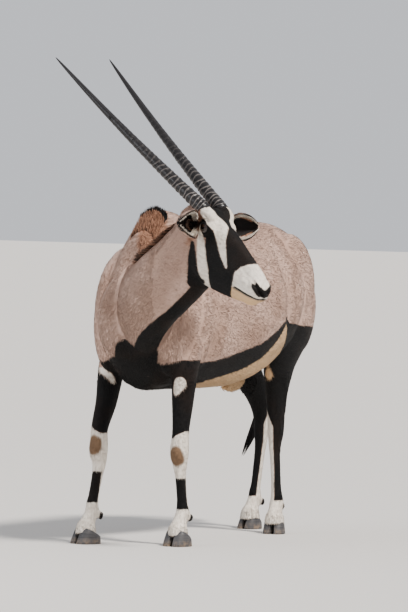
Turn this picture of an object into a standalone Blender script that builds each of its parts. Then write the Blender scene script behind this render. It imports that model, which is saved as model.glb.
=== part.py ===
"""Gemsbok bull at life size, standing with its head turned to its left.

Metres, +Z up. The animal faces -Y and its left side is +X. The hooves stand at Z = 0, and the
origin is the middle of the footprint box. The body is one fused form of barrels, tubes and
balls, parted by thin flat cuts where a person would name its parts.
"""

import math
import random

import bmesh
import bpy
import numpy as np
from mathutils import Matrix, Vector
from mathutils.bvhtree import BVHTree

# Driving dimensions
WITHERS_Z = 1.186
CROUP_Z = 1.135
BELLY_Z = 0.550
BARREL_HALF = 0.230
FACE_LENGTH = 0.398
HORN_LENGTH = 0.855
HORN_RADIUS = 0.0238
HORN_RINGS = 24
HORN_SPREAD = math.radians(5.9)
HORN_LEAN = math.radians(2.2)
EYE_RADIUS = 0.0205
EAR_LENGTH = 0.165
EAR_THICK = 0.0035
HORN_SEAT = 0.012
EAR_SEAT = 0.012
KNEE_Z = 0.325
HOCK_Z = 0.390
FETLOCK_Z = 0.112
CORONET_Z = 0.054
CORONET_SLOPE = 0.42
CLEFT = 0.0016
SPLAY = math.radians(2)
GAP = 0.0003

# How the head is carried, from the middle between the horn bases
POLL = Vector((0.408, -0.700, 1.2027))
HEAD_TURN = math.radians(72.4)
HEAD_PITCH = math.radians(39.7)
HEAD = (
    Matrix.Translation(POLL)
    @ Matrix.Rotation(HEAD_TURN, 4, "Z")
    @ Matrix.Rotation(HEAD_PITCH, 4, "X")
)

# Places on the head: to its left, towards the poll, out of the face
HORN_BASE = Vector((0.040, -0.014, -0.010))
EYE = Vector((0.0560, -0.069, -0.043))
EAR_ROOT = {"left": Vector((0.062, -0.006, -0.092)), "right": Vector((-0.062, -0.004, -0.082))}
EAR_AIM = {"left": Vector((0.93, -0.26, 0.24)), "right": Vector((-0.76, -0.48, 0.44))}
EAR_OPENS = {"left": Vector((-0.41, -0.70, 0.59)), "right": Vector((0.65, -0.58, 0.49))}

# Where the legs stand. A turn is how far the toes point to the animal's left.
FEET = {
    "front_left": dict(side=1, joint=(0.153, -0.432), foot=(0.160, -0.446), turn=-6),
    "front_right": dict(side=-1, joint=(-0.136, -0.500), foot=(-0.141, -0.570), turn=-22),
    "hind_left": dict(side=1, joint=(0.078, 0.438), foot=(0.101, 0.395), turn=14),
    "hind_right": dict(side=-1, joint=(-0.078, 0.622), foot=(-0.094, 0.575), turn=-10),
}
CLAW = {"front": dict(length=0.104, width=0.043), "hind": dict(length=0.094, width=0.037)}

# The tail
DOCK_END = Vector((-0.030, 0.748, 0.800))
DOCK_RADIUS = 0.015
TUFT_PATH = [
    (-0.030, 0.748, 0.800),
    (-0.060, 0.758, 0.700),
    (-0.105, 0.758, 0.560),
    (-0.160, 0.745, 0.400),
    (-0.212, 0.722, 0.255),
]

# Fineness of the fused surface
VOXEL = 0.0065
SIDES = 20
BODY_TRIANGLES = 6100


def smooth_rows(rows, steps=6):
    """Rows of numbers passed through a Catmull-Rom curve, with so many steps to each span."""
    rows = np.array(rows, float)
    ends = np.vstack([2 * rows[0] - rows[1], rows, 2 * rows[-1] - rows[-2]])
    out = []
    for i in range(len(rows) - 1):
        a, b, c, d = ends[i : i + 4]
        for t in np.arange(steps) / steps:
            bend = (2 * a - 5 * b + 4 * c - d) * t**2 + (3 * b - a - 3 * c + d) * t**3
            out.append(0.5 * (2 * b + (c - a) * t + bend))
    out.append(rows[-1])
    return np.array(out)


def skin_rings(bm, rings):
    """Joins rings of points into one closed tube with flat ends."""
    loops = [[bm.verts.new(p) for p in ring] for ring in rings]
    count = len(loops[0])
    for low, high in zip(loops, loops[1:]):
        for i in range(count):
            j = (i + 1) % count
            bm.faces.new((low[i], low[j], high[j], high[i]))
    bm.faces.new(loops[0][::-1])
    bm.faces.new(loops[-1])


def barrel(bm, rows, matrix=Matrix()):
    """Upright sections along -Y. A row is distance, top, bottom, half width, narrowing at the top."""
    square = 2.25
    rings = []
    for along, top, bottom, half, narrow in smooth_rows(rows):
        middle = (top + bottom) / 2
        ring = []
        for k in range(SIDES):
            turn = 2 * math.pi * k / SIDES
            c, s = math.cos(turn), math.sin(turn)
            x = half * math.copysign(abs(c) ** (2 / square), c) * (1 - narrow * max(s, 0))
            z = (top - bottom) / 2 * math.copysign(abs(s) ** (2 / square), s)
            ring.append(matrix @ Vector((x, -along, middle + z)))
        rings.append(ring)
    skin_rings(bm, rings)


def frames(rows, up):
    """Each row's place with its side and rise directions across the path."""
    for i, row in enumerate(rows):
        ahead = Vector(rows[min(i + 1, len(rows) - 1)][:3]) - Vector(rows[max(i - 1, 0)][:3])
        side = ahead.cross(up).normalized()
        yield row, Vector(row[:3]), side, side.cross(ahead).normalized()


def tube(bm, rows, up=Vector((0, -1, 0)), sides=SIDES):
    """A bent tube of oval section. A row is x, y, z, half width across, half width along up."""
    rings = []
    for row, place, side, rise in frames(smooth_rows(rows, 5), up):
        ring = []
        for k in range(sides):
            turn = 2 * math.pi * k / sides
            ring.append(place + side * row[3] * math.cos(turn) + rise * row[4] * math.sin(turn))
        rings.append(ring)
    skin_rings(bm, rings)


def ball(bm, centre, radii, matrix=Matrix(), tilt=0.0, yaw=0.0):
    """An ellipsoid, tilted about the side to side axis and then turned about the upright one."""
    place = (
        matrix
        @ Matrix.Translation(centre)
        @ Matrix.Rotation(math.radians(yaw), 4, "Z")
        @ Matrix.Rotation(math.radians(tilt), 4, "X")
        @ Matrix.Diagonal((*radii, 1))
    )
    bmesh.ops.create_uvsphere(bm, u_segments=20, v_segments=12, radius=1, matrix=place)


def hoop(bm, centre, axis, radii, thick, matrix):
    """A closed ring of round section, oval in plan, about an axis."""
    turn = Vector((0, 0, 1)).rotation_difference(axis)
    count = 20
    loops = []
    for i in range(count):
        a = 2 * math.pi * i / count
        spoke = Vector((math.cos(a) * radii[0], math.sin(a) * radii[1], 0))
        loop = []
        for k in range(8):
            b = 2 * math.pi * k / 8
            point = spoke * (1 + thick * math.cos(b) / spoke.length) + Vector((0, 0, thick * math.sin(b)))
            loop.append(bm.verts.new(matrix @ (centre + turn @ point)))
        loops.append(loop)
    for i in range(count):
        for k in range(8):
            a, b = loops[i], loops[(i + 1) % count]
            bm.faces.new((a[k], b[k], b[(k + 1) % 8], a[(k + 1) % 8]))


def torso(bm):
    """The trunk from the point of the breast to the buttocks."""
    top, croup, belly, half = WITHERS_Z, CROUP_Z, BELLY_Z, BARREL_HALF
    barrel(
        bm,
        [
            (0.625, 0.87, 0.74, 0.040, 0.0),
            (0.600, 0.93, 0.68, 0.095, 0.1),
            (0.535, 1.00, 0.61, 0.130, 0.3),
            (0.450, top - 0.07, belly, 0.160, 0.34),
            (0.370, top - 0.01, belly - 0.006, 0.182, 0.40),
            (0.290, top - 0.008, belly - 0.006, 0.196, 0.34),
            (0.170, top - 0.040, belly - 0.006, 0.208, 0.24),
            (0.020, croup + 0.002, belly - 0.008, half - 0.005, 0.20),
            (-0.120, croup - 0.008, belly - 0.002, half, 0.15),
            (-0.260, croup, belly + 0.026, half - 0.010, 0.15),
            (-0.380, croup + 0.006, belly + 0.080, 0.202, 0.25),
            (-0.480, croup - 0.006, 0.70, 0.172, 0.25),
            (-0.570, croup - 0.038, 0.77, 0.130, 0.15),
            (-0.640, croup - 0.100, 0.87, 0.080, 0.0),
        ],
    )
    for side in (-1, 1):
        ball(bm, (side * 0.118, -0.405, 0.82), (0.070, 0.135, 0.230), tilt=-14)
        ball(bm, (side * 0.104, 0.440, 0.900), (0.084, 0.165, 0.200))
        ball(bm, (side * 0.055, 0.400, 1.060), (0.080, 0.090, 0.058))
    ball(bm, (0, 0.240, 0.562), (0.028, 0.075, 0.040), tilt=10)
    ball(bm, (0, 0.180, 0.543), (0.013, 0.028, 0.015), tilt=20)
    ball(bm, (0, 0.520, 0.705), (0.036, 0.042, 0.075))


NECK = [
    (0.000, -0.340, 0.880, 0.110, 0.230),
    (0.022, -0.450, 0.850, 0.112, 0.205),
    (0.062, -0.540, 0.843, 0.108, 0.172),
    (0.108, -0.600, 0.868, 0.100, 0.146),
    (0.155, -0.632, 0.901, 0.094, 0.134),
    (0.212, -0.650, 0.943, 0.088, 0.131),
    (0.278, -0.666, 0.995, 0.082, 0.128),
    (0.325, -0.674, 1.048, 0.078, 0.122),
    (0.355, -0.680, 1.103, 0.074, 0.110),
]


def neck(bm):
    """The neck, low out of the chest and bent to the left."""
    tube(bm, NECK, up=Vector((0, 0, 1)))


def head(bm):
    """The skull, cheeks and muzzle, with the bosses that carry horns, ears and lids."""
    end = FACE_LENGTH
    barrel(
        bm,
        [
            (-0.070, -0.048, -0.140, 0.050, 0.0),
            (-0.030, -0.028, -0.185, 0.066, 0.0),
            (0.020, 0.004, -0.225, 0.072, 0.0),
            (0.075, 0.004, -0.238, 0.070, 0.0),
            (0.130, 0.001, -0.232, 0.062, 0.1),
            (0.190, -0.002, -0.214, 0.054, 0.2),
            (0.250, -0.006, -0.190, 0.048, 0.2),
            (0.305, -0.009, -0.166, 0.046, 0.1),
            (0.345, -0.012, -0.144, 0.050, 0.0),
            (0.372, -0.020, -0.130, 0.049, 0.0),
            (end - 0.010, -0.032, -0.112, 0.043, 0.0),
            (end, -0.044, -0.098, 0.034, 0.0),
            (end + 0.005, -0.056, -0.086, 0.020, 0.0),
        ],
        HEAD,
    )
    ball(bm, (0, 0.000, -0.088), (0.070, 0.074, 0.062), HEAD)
    ball(bm, (0, -0.350, -0.118), (0.036, 0.036, 0.022), HEAD)
    for side in (-1, 1):
        out = Vector((side, 1, 1))
        ball(bm, EYE * out + Vector((-side * 0.010, 0.002, 0.004)), (0.022, 0.042, 0.027), HEAD)
        ball(bm, (side * 0.042, -0.100, -0.142), (0.026, 0.085, 0.070), HEAD, tilt=-10)
        ball(bm, (side * 0.028, -0.368, -0.060), (0.026, 0.032, 0.036), HEAD)
        ball(bm, HORN_BASE * out + Vector((0, -0.016, -0.003)), (0.029, 0.046, 0.028), HEAD)
        axis = Vector((side, -0.16, 0.10)).normalized()
        hoop(bm, EYE * out + axis * 0.0120, axis, (0.0140, 0.0180), 0.0050, HEAD)
    for name, root in EAR_ROOT.items():
        ball(bm, root, (0.024, 0.024, 0.024), HEAD)


def ahead(leg, distance):
    """A point in front of the foot's middle, the way its toes point."""
    turn = math.radians(leg["turn"])
    x, y = leg["foot"]
    return x + math.sin(turn) * distance, y - math.cos(turn) * distance


def lower_leg(leg, joint, top, across, along):
    """Rows from the cannon to the coronet. Across and along are the cannon's half widths."""
    kx, ky = joint
    x, y = ahead(leg, -0.022)
    fx, fy = ahead(leg, -0.008)
    return [
        (0.75 * kx + 0.25 * x, 0.75 * ky + 0.25 * y, top, across * 1.04, along * 1.04),
        (0.25 * kx + 0.75 * x, 0.25 * ky + 0.75 * y, FETLOCK_Z + 0.060, across, along),
        (x, y, FETLOCK_Z + 0.024, across + 0.003, along + 0.004),
        (x, y, FETLOCK_Z, across + 0.0065, along + 0.0070),
        (fx, fy, FETLOCK_Z - 0.026, across + 0.0065, along + 0.0035),
        (*ahead(leg, 0.002), CORONET_Z + 0.006, across + 0.0155, along + 0.0110),
        (*ahead(leg, 0.006), CORONET_Z - 0.030, across + 0.0200, along + 0.0170),
    ]


def foreleg(bm, leg):
    """A foreleg from inside the shoulder to the coronet, with its dewclaws."""
    side = leg["side"]
    kx, ky = leg["joint"]
    tube(
        bm,
        [
            (side * 0.110, -0.375, 0.800, 0.062, 0.110),
            (side * 0.130, -0.380, 0.690, 0.056, 0.088),
            (0.7 * side * 0.140 + 0.3 * kx, 0.3 * ky - 0.7 * 0.385, 0.610, 0.044, 0.063),
            (0.4 * side * 0.140 + 0.6 * kx, 0.6 * ky - 0.4 * 0.385, 0.500, 0.037, 0.046),
            (kx, ky, KNEE_Z + 0.085, 0.031, 0.034),
            (kx, ky - 0.004, KNEE_Z + 0.030, 0.033, 0.035),
            (kx, ky - 0.006, KNEE_Z, 0.034, 0.036),
            (kx, ky, KNEE_Z - 0.042, 0.026, 0.029),
            *lower_leg(leg, leg["joint"], KNEE_Z - 0.085, 0.0185, 0.0235),
        ],
    )
    dewclaws(bm, leg, 0.040)


def thigh(leg, share, forward):
    """A point between the haunch and the hock, brought forward towards the stifle."""
    kx, ky = leg["joint"]
    return leg["side"] * 0.106 * (1 - share) + kx * share, 0.455 * (1 - share) + ky * share - forward


def hind_leg(bm, leg):
    """A hind leg from inside the haunch to the coronet, with its dewclaws."""
    side = leg["side"]
    kx, ky = leg["joint"]
    tube(
        bm,
        [
            (side * 0.085, 0.470, 0.960, 0.068, 0.150),
            (side * 0.098, 0.468, 0.860, 0.080, 0.166),
            (side * 0.102, 0.460, 0.780, 0.073, 0.158),
            (*thigh(leg, 0.15, 0.022), 0.700, 0.060, 0.128),
            (*thigh(leg, 0.40, 0.032), 0.620, 0.049, 0.093),
            (*thigh(leg, 0.72, 0.022), 0.540, 0.039, 0.066),
            (*thigh(leg, 0.94, 0.012), 0.465, 0.032, 0.050),
            (kx, ky - 0.004, HOCK_Z + 0.015, 0.028, 0.044),
            (kx, ky - 0.006, HOCK_Z - 0.025, 0.028, 0.038),
            (kx, ky - 0.010, HOCK_Z - 0.075, 0.0215, 0.0300),
            *lower_leg(leg, (kx, ky - 0.010), HOCK_Z - 0.125, 0.0180, 0.0250),
        ],
    )
    dewclaws(bm, leg, 0.038)


def dewclaws(bm, leg, behind):
    """The two small claws behind the fetlock."""
    turn = math.radians(leg["turn"])
    across = Vector((math.cos(turn), math.sin(turn), 0))
    x, y = ahead(leg, -0.024 - behind * 0.62)
    for side in (-1, 1):
        centre = Vector((x, y, FETLOCK_Z - 0.012)) + across * side * 0.015
        ball(bm, centre, (0.0095, 0.013, 0.015), tilt=-35)


def dock(bm):
    """The bare part of the tail, a little longer than it is kept."""
    radius = DOCK_RADIUS
    down = Vector(TUFT_PATH[1])
    tube(
        bm,
        [
            (0, 0.600, 1.060, radius * 1.5, radius * 1.5),
            (0, 0.672, 1.035, radius * 1.5, radius * 1.4),
            (-0.004, 0.715, 0.960, radius * 1.15, radius * 1.1),
            (-0.014, 0.738, 0.880, radius, radius),
            (*DOCK_END, radius * 0.9, radius * 0.9),
            (*down, radius * 0.8, radius * 0.8),
        ],
    )


def body_pieces(bm):
    torso(bm)
    neck(bm)
    head(bm)
    dock(bm)
    for name, leg in FEET.items():
        if name.startswith("front"):
            foreleg(bm, leg)
        else:
            hind_leg(bm, leg)


def new_object(name, mesh):
    obj = bpy.data.objects.new(name, mesh)
    bpy.context.scene.collection.objects.link(obj)
    return obj


def object_of(name, build):
    """An object from a function that fills a bmesh, with its faces turned outwards."""
    bm = bmesh.new()
    build(bm)
    bmesh.ops.recalc_face_normals(bm, faces=bm.faces)
    mesh = bpy.data.meshes.new(name)
    bm.to_mesh(mesh)
    bm.free()
    return new_object(name, mesh)


def apply(obj):
    """Replaces the object's mesh by the mesh that its modifiers give."""
    graph = bpy.context.evaluated_depsgraph_get()
    mesh = bpy.data.meshes.new_from_object(obj.evaluated_get(graph))
    obj.modifiers.clear()
    obj.data = mesh


def points_of(mesh):
    points = np.empty(len(mesh.vertices) * 3)
    mesh.vertices.foreach_get("co", points)
    return points.reshape(-1, 3)


def set_points(mesh, points):
    mesh.vertices.foreach_set("co", points.ravel())
    mesh.update()


def relax(mesh, rounds, weight=1.0):
    """Taubin smoothing: each round pulls the points to their neighbours and pushes them back."""
    points = points_of(mesh)
    edges = np.empty(len(mesh.edges) * 2, int)
    mesh.edges.foreach_get("vertices", edges)
    a, b = edges.reshape(-1, 2).T
    many = len(points)
    degree = (np.bincount(a, minlength=many) + np.bincount(b, minlength=many))[:, None]
    weight = np.broadcast_to(np.asarray(weight, float).reshape(-1, 1), (many, 1))
    for _ in range(rounds):
        for pull in (0.5, -0.51):
            total = np.column_stack(
                [
                    np.bincount(a, points[b, i], many) + np.bincount(b, points[a, i], many)
                    for i in range(3)
                ]
            )
            points = points + pull * weight * (total / degree - points)
    set_points(mesh, points)


def on_head(points):
    """Points in the frame of the head."""
    inverse = np.array(HEAD.inverted())
    return points @ inverse[:3, :3].T + inverse[:3, 3]


def head_share(points):
    """1 on the face, falling to 0 behind the ears."""
    x, y, z = on_head(points).T
    inside = (np.abs(x) < 0.12) & (y > -FACE_LENGTH - 0.02) & (z < 0.05) & (z > -0.23)
    return np.clip((0.055 - y) / 0.03, 0, 1) * inside


def refine_head(mesh):
    """Splits the faces of the head in four."""
    share = head_share(points_of(mesh))
    bm = bmesh.new()
    bm.from_mesh(mesh)
    bm.verts.ensure_lookup_table()
    edges = [e for e in bm.edges if share[e.verts[0].index] > 0.5 and share[e.verts[1].index] > 0.5]
    bmesh.ops.subdivide_edges(bm, edges=edges, cuts=1, use_grid_fill=True)
    bmesh.ops.triangulate(bm, faces=[f for f in bm.faces if len(f.verts) > 4])
    bm.to_mesh(mesh)
    bm.free()


def stroke(points, normals, path, radius, height):
    """Raises the skin along a path, or presses it in where the height is negative."""
    path = np.array(path, float)
    best = np.full(len(points), 1e9)
    for start, end in zip(path, path[1:]):
        run = end - start
        share = np.clip((points - start) @ run / (run @ run), 0, 1)[:, None]
        best = np.minimum(best, np.linalg.norm(points - start - share * run, axis=1))
    rise = np.clip(1 - (best / radius) ** 2, 0, 1) ** 2
    return points + normals * (height * rise)[:, None]


def carve_face(mesh):
    """The mouth line, nostrils, lips, jaw and the hollows of the face."""
    points = points_of(mesh)
    normals = np.empty(len(points) * 3)
    mesh.vertex_normals.foreach_get("vector", normals)
    turn = np.array(HEAD)[:3, :3]
    normals = normals.reshape(-1, 3) @ turn
    local = on_head(points)
    near = head_share(points) > 0.5
    face, out = local[near], normals[near]
    end = FACE_LENGTH
    for side in (-1, 1):
        mouth = [
            (side * 0.045, -0.298, -0.121),
            (side * 0.052, -0.335, -0.109),
            (side * 0.050, -0.362, -0.100),
            (side * 0.040, -end + 0.012, -0.092),
            (side * 0.018, -end - 0.003, -0.087),
            (0, -end - 0.006, -0.086),
        ]
        nostril = [
            (side * 0.012, -end - 0.004, -0.068),
            (side * 0.022, -end + 0.002, -0.057),
            (side * 0.036, -end + 0.018, -0.046),
            (side * 0.043, -end + 0.034, -0.037),
        ]
        face = stroke(face, out, mouth, 0.0080, -0.0080)
        face = stroke(face, out, nostril, 0.0110, -0.0130)
        cheek = [(side * 0.05, -0.20, -0.03), (side * 0.05, -0.30, -0.04)]
        face = stroke(face, out, cheek, 0.03, -0.003)
    local[near] = face
    set_points(mesh, local @ turn.T + np.array(HEAD)[:3, 3])


def fused_body():
    """The body before it is parted: remeshed, relaxed, carved, and thinned to few triangles."""
    body = object_of("body", body_pieces)
    remesh = body.modifiers.new("Fuse", "REMESH")
    remesh.mode = "VOXEL"
    remesh.voxel_size = VOXEL
    apply(body)
    relax(body.data, 10)
    refine_head(body.data)
    relax(body.data, 3)
    carve_face(body.data)
    set_points(body.data, np.round(points_of(body.data), 5))
    share = head_share(points_of(body.data))
    group = body.vertex_groups.new(name="thin")
    for index, value in enumerate(share):
        group.add([index], 1.0 - 0.85 * float(value), "REPLACE")
    thin = body.modifiers.new("Thin", "DECIMATE")
    thin.vertex_group = "thin"
    thin.vertex_group_factor = 0.0001
    thin.ratio = 1.0
    count = sum(len(p.vertices) - 2 for p in body.data.polygons)
    thin.ratio = BODY_TRIANGLES / count
    apply(body)
    body.vertex_groups.clear()
    return body


def lock(path, normals, widths, thick):
    """A flat tapered lock of hair along a path, closed, with a pointed tip."""

    def build(bm):
        loops = []
        for i, (place, normal, width) in enumerate(zip(path, normals, widths)):
            run = path[min(i + 1, len(path) - 1)] - path[max(i - 1, 0)]
            side = run.cross(normal).normalized()
            rise = side.cross(run).normalized()
            flat = thick * (0.4 + 0.6 * width / max(widths))
            corners = (side * width / 2, rise * flat / 2, -side * width / 2, -rise * flat / 2)
            loops.append([bm.verts.new(place + corner) for corner in corners])
        tip = bm.verts.new(path[-1] + (path[-1] - path[-2]) * 0.5)
        for low, high in zip(loops, loops[1:]):
            for k in range(4):
                bm.faces.new((low[k], low[(k + 1) % 4], high[(k + 1) % 4], high[k]))
        for k in range(4):
            bm.faces.new((loops[-1][k], loops[-1][(k + 1) % 4], tip))
        bm.faces.new(loops[0][::-1])

    return object_of("lock", build)


def unite(obj, pieces, solver="MANIFOLD"):
    """Fuses closed pieces into the object and removes them."""
    group = bpy.data.collections.new("pieces")
    for piece in pieces:
        group.objects.link(piece)
    join = obj.modifiers.new("Join", "BOOLEAN")
    join.operation = "UNION"
    join.solver = solver
    join.operand_type = "COLLECTION"
    join.collection = group
    apply(obj)
    for piece in pieces:
        bpy.data.objects.remove(piece)
    bpy.data.collections.remove(group)


def cut(obj, cutters, solver="MANIFOLD"):
    """Takes closed cutters out of the object and removes them."""
    group = bpy.data.collections.new("cutters")
    for cutter in cutters:
        cutter.hide_render = True
        cutter.display_type = "WIRE"
        group.objects.link(cutter)
    carve = obj.modifiers.new("Cut", "BOOLEAN")
    carve.operation = "DIFFERENCE"
    carve.solver = solver
    carve.operand_type = "COLLECTION"
    carve.collection = group
    apply(obj)
    for cutter in cutters:
        bpy.data.objects.remove(cutter)
    bpy.data.collections.remove(group)


def disc(centre, normal, radius, thick=GAP, sides=32):
    """A flat round slab whose middle is at the centre."""
    place = Matrix.Translation(centre) @ normal.to_track_quat("Z", "Y").to_matrix().to_4x4()

    def build(bm):
        bmesh.ops.create_cone(
            bm, cap_ends=True, segments=sides, radius1=radius, radius2=radius, depth=thick, matrix=place
        )

    return object_of("disc", build)


def sphere(name, centre, radius):
    def build(bm):
        bmesh.ops.create_uvsphere(
            bm, u_segments=16, v_segments=10, radius=radius, matrix=Matrix.Translation(centre)
        )

    return object_of(name, build)


def horn_axis(side):
    """The way a horn points, in the frame of the head."""
    return Vector((side * math.tan(HORN_SPREAD), 1, -math.tan(HORN_LEAN))).normalized()


def add_mane(body):
    """Short locks along the crest of the neck that lie towards the head, and a ruff on the withers."""
    tree = BVHTree.FromObject(body, bpy.context.evaluated_depsgraph_get())
    draw = random.Random(4)
    pieces = []
    crest = list(frames(smooth_rows(NECK, 8), Vector((0, 0, 1))))
    for step in range(6, len(crest) - 9, 5):
        row, place, side, rise = crest[step]
        run = (Vector(crest[step + 1][0][:3]) - place).normalized()
        for column in (-1, 0, 1):
            start = place + side * column * 0.020 + rise * 0.5
            hit, normal, _, _ = tree.ray_cast(start, -rise)
            if hit is None:
                continue
            length = 0.070 * draw.uniform(0.85, 1.15)
            lean = side * column * draw.uniform(0.05, 0.25)
            path = []
            normals = []
            for k in range(3):
                t = k / 2
                raised = -0.012 + 0.026 * math.sin(t * 1.9)
                path.append(hit + (run + lean) * length * t + normal * raised)
                normals.append(normal)
            pieces.append(lock(path, normals, (0.024, 0.032, 0.014), 0.008))
    ruff = 9
    for k in range(ruff):
        turn = math.pi * k / (ruff - 1)
        x = -0.044 * math.cos(turn)
        y = -0.372 - 0.012 * math.sin(turn)
        hit, normal, _, _ = tree.ray_cast(Vector((x, y, 1.5)), Vector((0, 0, -1)))
        lean = Vector((x * 4, -0.35, 1)).normalized()
        path = [hit + lean * reach for reach in (-0.012, 0.006, 0.018)]
        pieces.append(lock(path, [Vector((0, 1, 0))] * 3, (0.018, 0.022, 0.012), 0.009))
    unite(body, pieces)


def keep_largest(obj):
    """Drops all but the largest closed surface of the object."""
    bm = bmesh.new()
    bm.from_mesh(obj.data)
    islands = islands_of(bm)
    islands.sort(key=len)
    drop = [face for island in islands[:-1] for face in island]
    bmesh.ops.delete(bm, geom=drop, context="FACES")
    bmesh.ops.delete(bm, geom=[v for v in bm.verts if not v.link_faces], context="VERTS")
    bm.to_mesh(obj.data)
    bm.free()


def islands_of(bm):
    """The faces grouped by closed surface. An edge where two surfaces only touch doesn't join them."""
    seen = set()
    islands = []
    for face in bm.faces:
        if face in seen:
            continue
        island, edge = [], [face]
        seen.add(face)
        while edge:
            here = edge.pop()
            island.append(here)
            for line in here.edges:
                if len(line.link_faces) > 2:
                    continue
                for other in line.link_faces:
                    if other not in seen:
                        seen.add(other)
                        edge.append(other)
        islands.append(island)
    return islands


def middle_of(island):
    corners = {v for face in island for v in face.verts}
    return sum((v.co for v in corners), Vector()) / len(corners)


def foot_floor(leg):
    """A point and normal of the plane where the flesh of the foot ends."""
    turn = math.radians(leg["turn"])
    forward = Vector((math.sin(turn), -math.cos(turn), 0))
    x, y = leg["foot"]
    normal = (Vector((0, 0, 1)) - forward * CORONET_SLOPE).normalized()
    return Vector((x, y, CORONET_Z - 0.012)), normal


def body_cuts():
    """The thin slabs that part the body, and the blocks that seat horns, ears, eyes and claws."""
    cutters = [
        disc(Vector((0.330, -0.675, 1.050)), Vector((0.93, -0.29, 0.10)), 0.21),
        disc(Vector((0.180, -0.640, 0.920)), Vector((0.75, -0.34, 0.57)), 0.22),
        disc(Vector((0.020, -0.510, 0.880)), Vector((0.28, -0.93, 0.24)), 0.38),
        disc(Vector((0, 0.060, 0.840)), Vector((0, 1, 0)), 0.42),
        disc(Vector((0, 0.690, 1.010)), Vector((0, 0.62, -0.78)), 0.036),
    ]
    for name, leg in FEET.items():
        side = leg["side"]
        kx, ky = leg["joint"]
        x, y = ahead(leg, -0.022)
        if name.startswith("front"):
            elbow = Vector((side * 0.172, ky * 0.3 - 0.7 * 0.385, 0.615))
            cutters.append(disc(elbow, Vector((side * 0.64, 0, -0.77)), 0.125))
            cutters.append(disc(Vector((kx, ky, KNEE_Z - 0.058)), Vector((0, 0, 1)), 0.060))
        else:
            stifle = Vector((*thigh(leg, 0.48, 0.012), 0.600))
            cutters.append(disc(stifle, Vector((side * 0.28, 0.28, -0.92)), 0.140))
            cutters.append(disc(Vector((kx, ky, HOCK_Z - 0.090)), Vector((0, 0, 1)), 0.060))
        cutters.append(disc(Vector((x, y, FETLOCK_Z + 0.045)), Vector((0, 0, 1)), 0.055))
        place, normal = foot_floor(leg)
        cutters.append(disc(place - normal * 0.05, normal, 0.10, thick=0.10))
    for side in (-1, 1):
        out = Vector((side, 1, 1))
        turn = HEAD.to_3x3()
        axis = turn @ horn_axis(side)
        seat = HEAD @ (HORN_BASE * out) + axis * HORN_SEAT
        cutters.append(disc(seat + axis * 0.05, axis, 0.0330, thick=0.10))
        cutters.append(sphere("socket", HEAD @ (EYE * out), EYE_RADIUS + GAP))
    for name, root in EAR_ROOT.items():
        axis = (HEAD.to_3x3() @ EAR_AIM[name]).normalized()
        cutters.append(disc(HEAD @ root + axis * (EAR_SEAT + 0.02), axis, 0.030, thick=0.04))
    end = DOCK_END
    along = (Vector(TUFT_PATH[1]) - Vector(TUFT_PATH[0])).normalized()
    cutters.append(disc(end + along * 0.08, along, 0.05, thick=0.16))
    return cutters


NODE_PLACES = {
    "head": POLL + Vector((0.10, -0.03, -0.12)),
    "neck_upper": Vector((0.255, -0.660, 0.975)),
    "neck_lower": Vector((0.110, -0.600, 0.870)),
    "torso_front": Vector((0, -0.200, 0.850)),
    "torso_rear": Vector((0, 0.350, 0.850)),
    "tail_dock": Vector((-0.010, 0.730, 0.900)),
}


def node_places():
    """A point near the middle of each node of the body."""
    places = dict(NODE_PLACES)
    for name, leg in FEET.items():
        kx, ky = leg["joint"]
        x, y = leg["foot"]
        joint = KNEE_Z if name.startswith("front") else HOCK_Z
        places[f"leg_{name}_upper"] = Vector((kx, ky, joint + 0.10))
        places[f"leg_{name}_cannon"] = Vector(((kx + x) / 2, (ky + y) / 2, joint / 2 + 0.05))
        places[f"leg_{name}_foot"] = Vector((x, y, FETLOCK_Z - 0.02))
    return places


def part_body(body):
    """Cuts the body and gives each loose piece the name of the nearest node place."""
    cut(body, body_cuts())
    bm = bmesh.new()
    bm.from_mesh(body.data)
    islands = islands_of(bm)
    places = node_places()
    chosen = {}
    for island in sorted(islands, key=len, reverse=True):
        middle = middle_of(island)
        name = min(places, key=lambda n: (places[n] - middle).length)
        chosen.setdefault(name, island)
    for name, island in chosen.items():
        piece = bmesh.new()
        twin = {}
        for face in island:
            for vert in face.verts:
                if vert not in twin:
                    twin[vert] = piece.verts.new(vert.co)
        for face in island:
            piece.faces.new([twin[v] for v in face.verts])
        mesh = bpy.data.meshes.new(name)
        piece.to_mesh(mesh)
        piece.free()
        new_object(name, mesh)
    bm.free()
    bpy.data.objects.remove(body)


def horn_radius(t):
    """The horn's radius at a share of its length."""
    return HORN_RADIUS * (1 - 0.80 * t) * math.sqrt(1 - t**10) + 0.0006


def horn(name, side):
    """A ringed horn, its flat base on the seat and its upper third smooth."""
    axis = horn_axis(side)
    base = HORN_BASE * Vector((side, 1, 1)) + axis * (HORN_SEAT + GAP)
    bow = 0.009
    sides = 8
    rows = [(0.0, 1.0)]
    ringed = 0.60
    for k in range(HORN_RINGS):
        start = ringed * (k / HORN_RINGS) ** 1.18
        stop = ringed * ((k + 1) / HORN_RINGS) ** 1.18
        swell = 1.10 - 0.060 * k / HORN_RINGS
        rows.append((start + 0.25 * (stop - start), 0.93))
        rows.append((start + 0.72 * (stop - start), swell))
    rows += [(0.64, 1.0), (0.75, 1.0), (0.86, 1.0), (0.94, 1.0), (0.985, 1.0)]
    turn = Vector((0, 0, 1)).rotation_difference(axis)

    def build(bm):
        loops = []
        for t, swell in rows:
            middle = base + axis * HORN_LENGTH * t + Vector((0, 0, -bow * math.sin(math.pi * t)))
            radius = horn_radius(t) * swell
            loop = []
            for i in range(sides):
                a = 2 * math.pi * i / sides
                spoke = turn @ Vector((math.cos(a) * radius, math.sin(a) * radius, 0))
                loop.append(HEAD @ (middle + spoke))
            loops.append(loop)
        skin_rings(bm, loops)

    return object_of(name, build)


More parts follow.
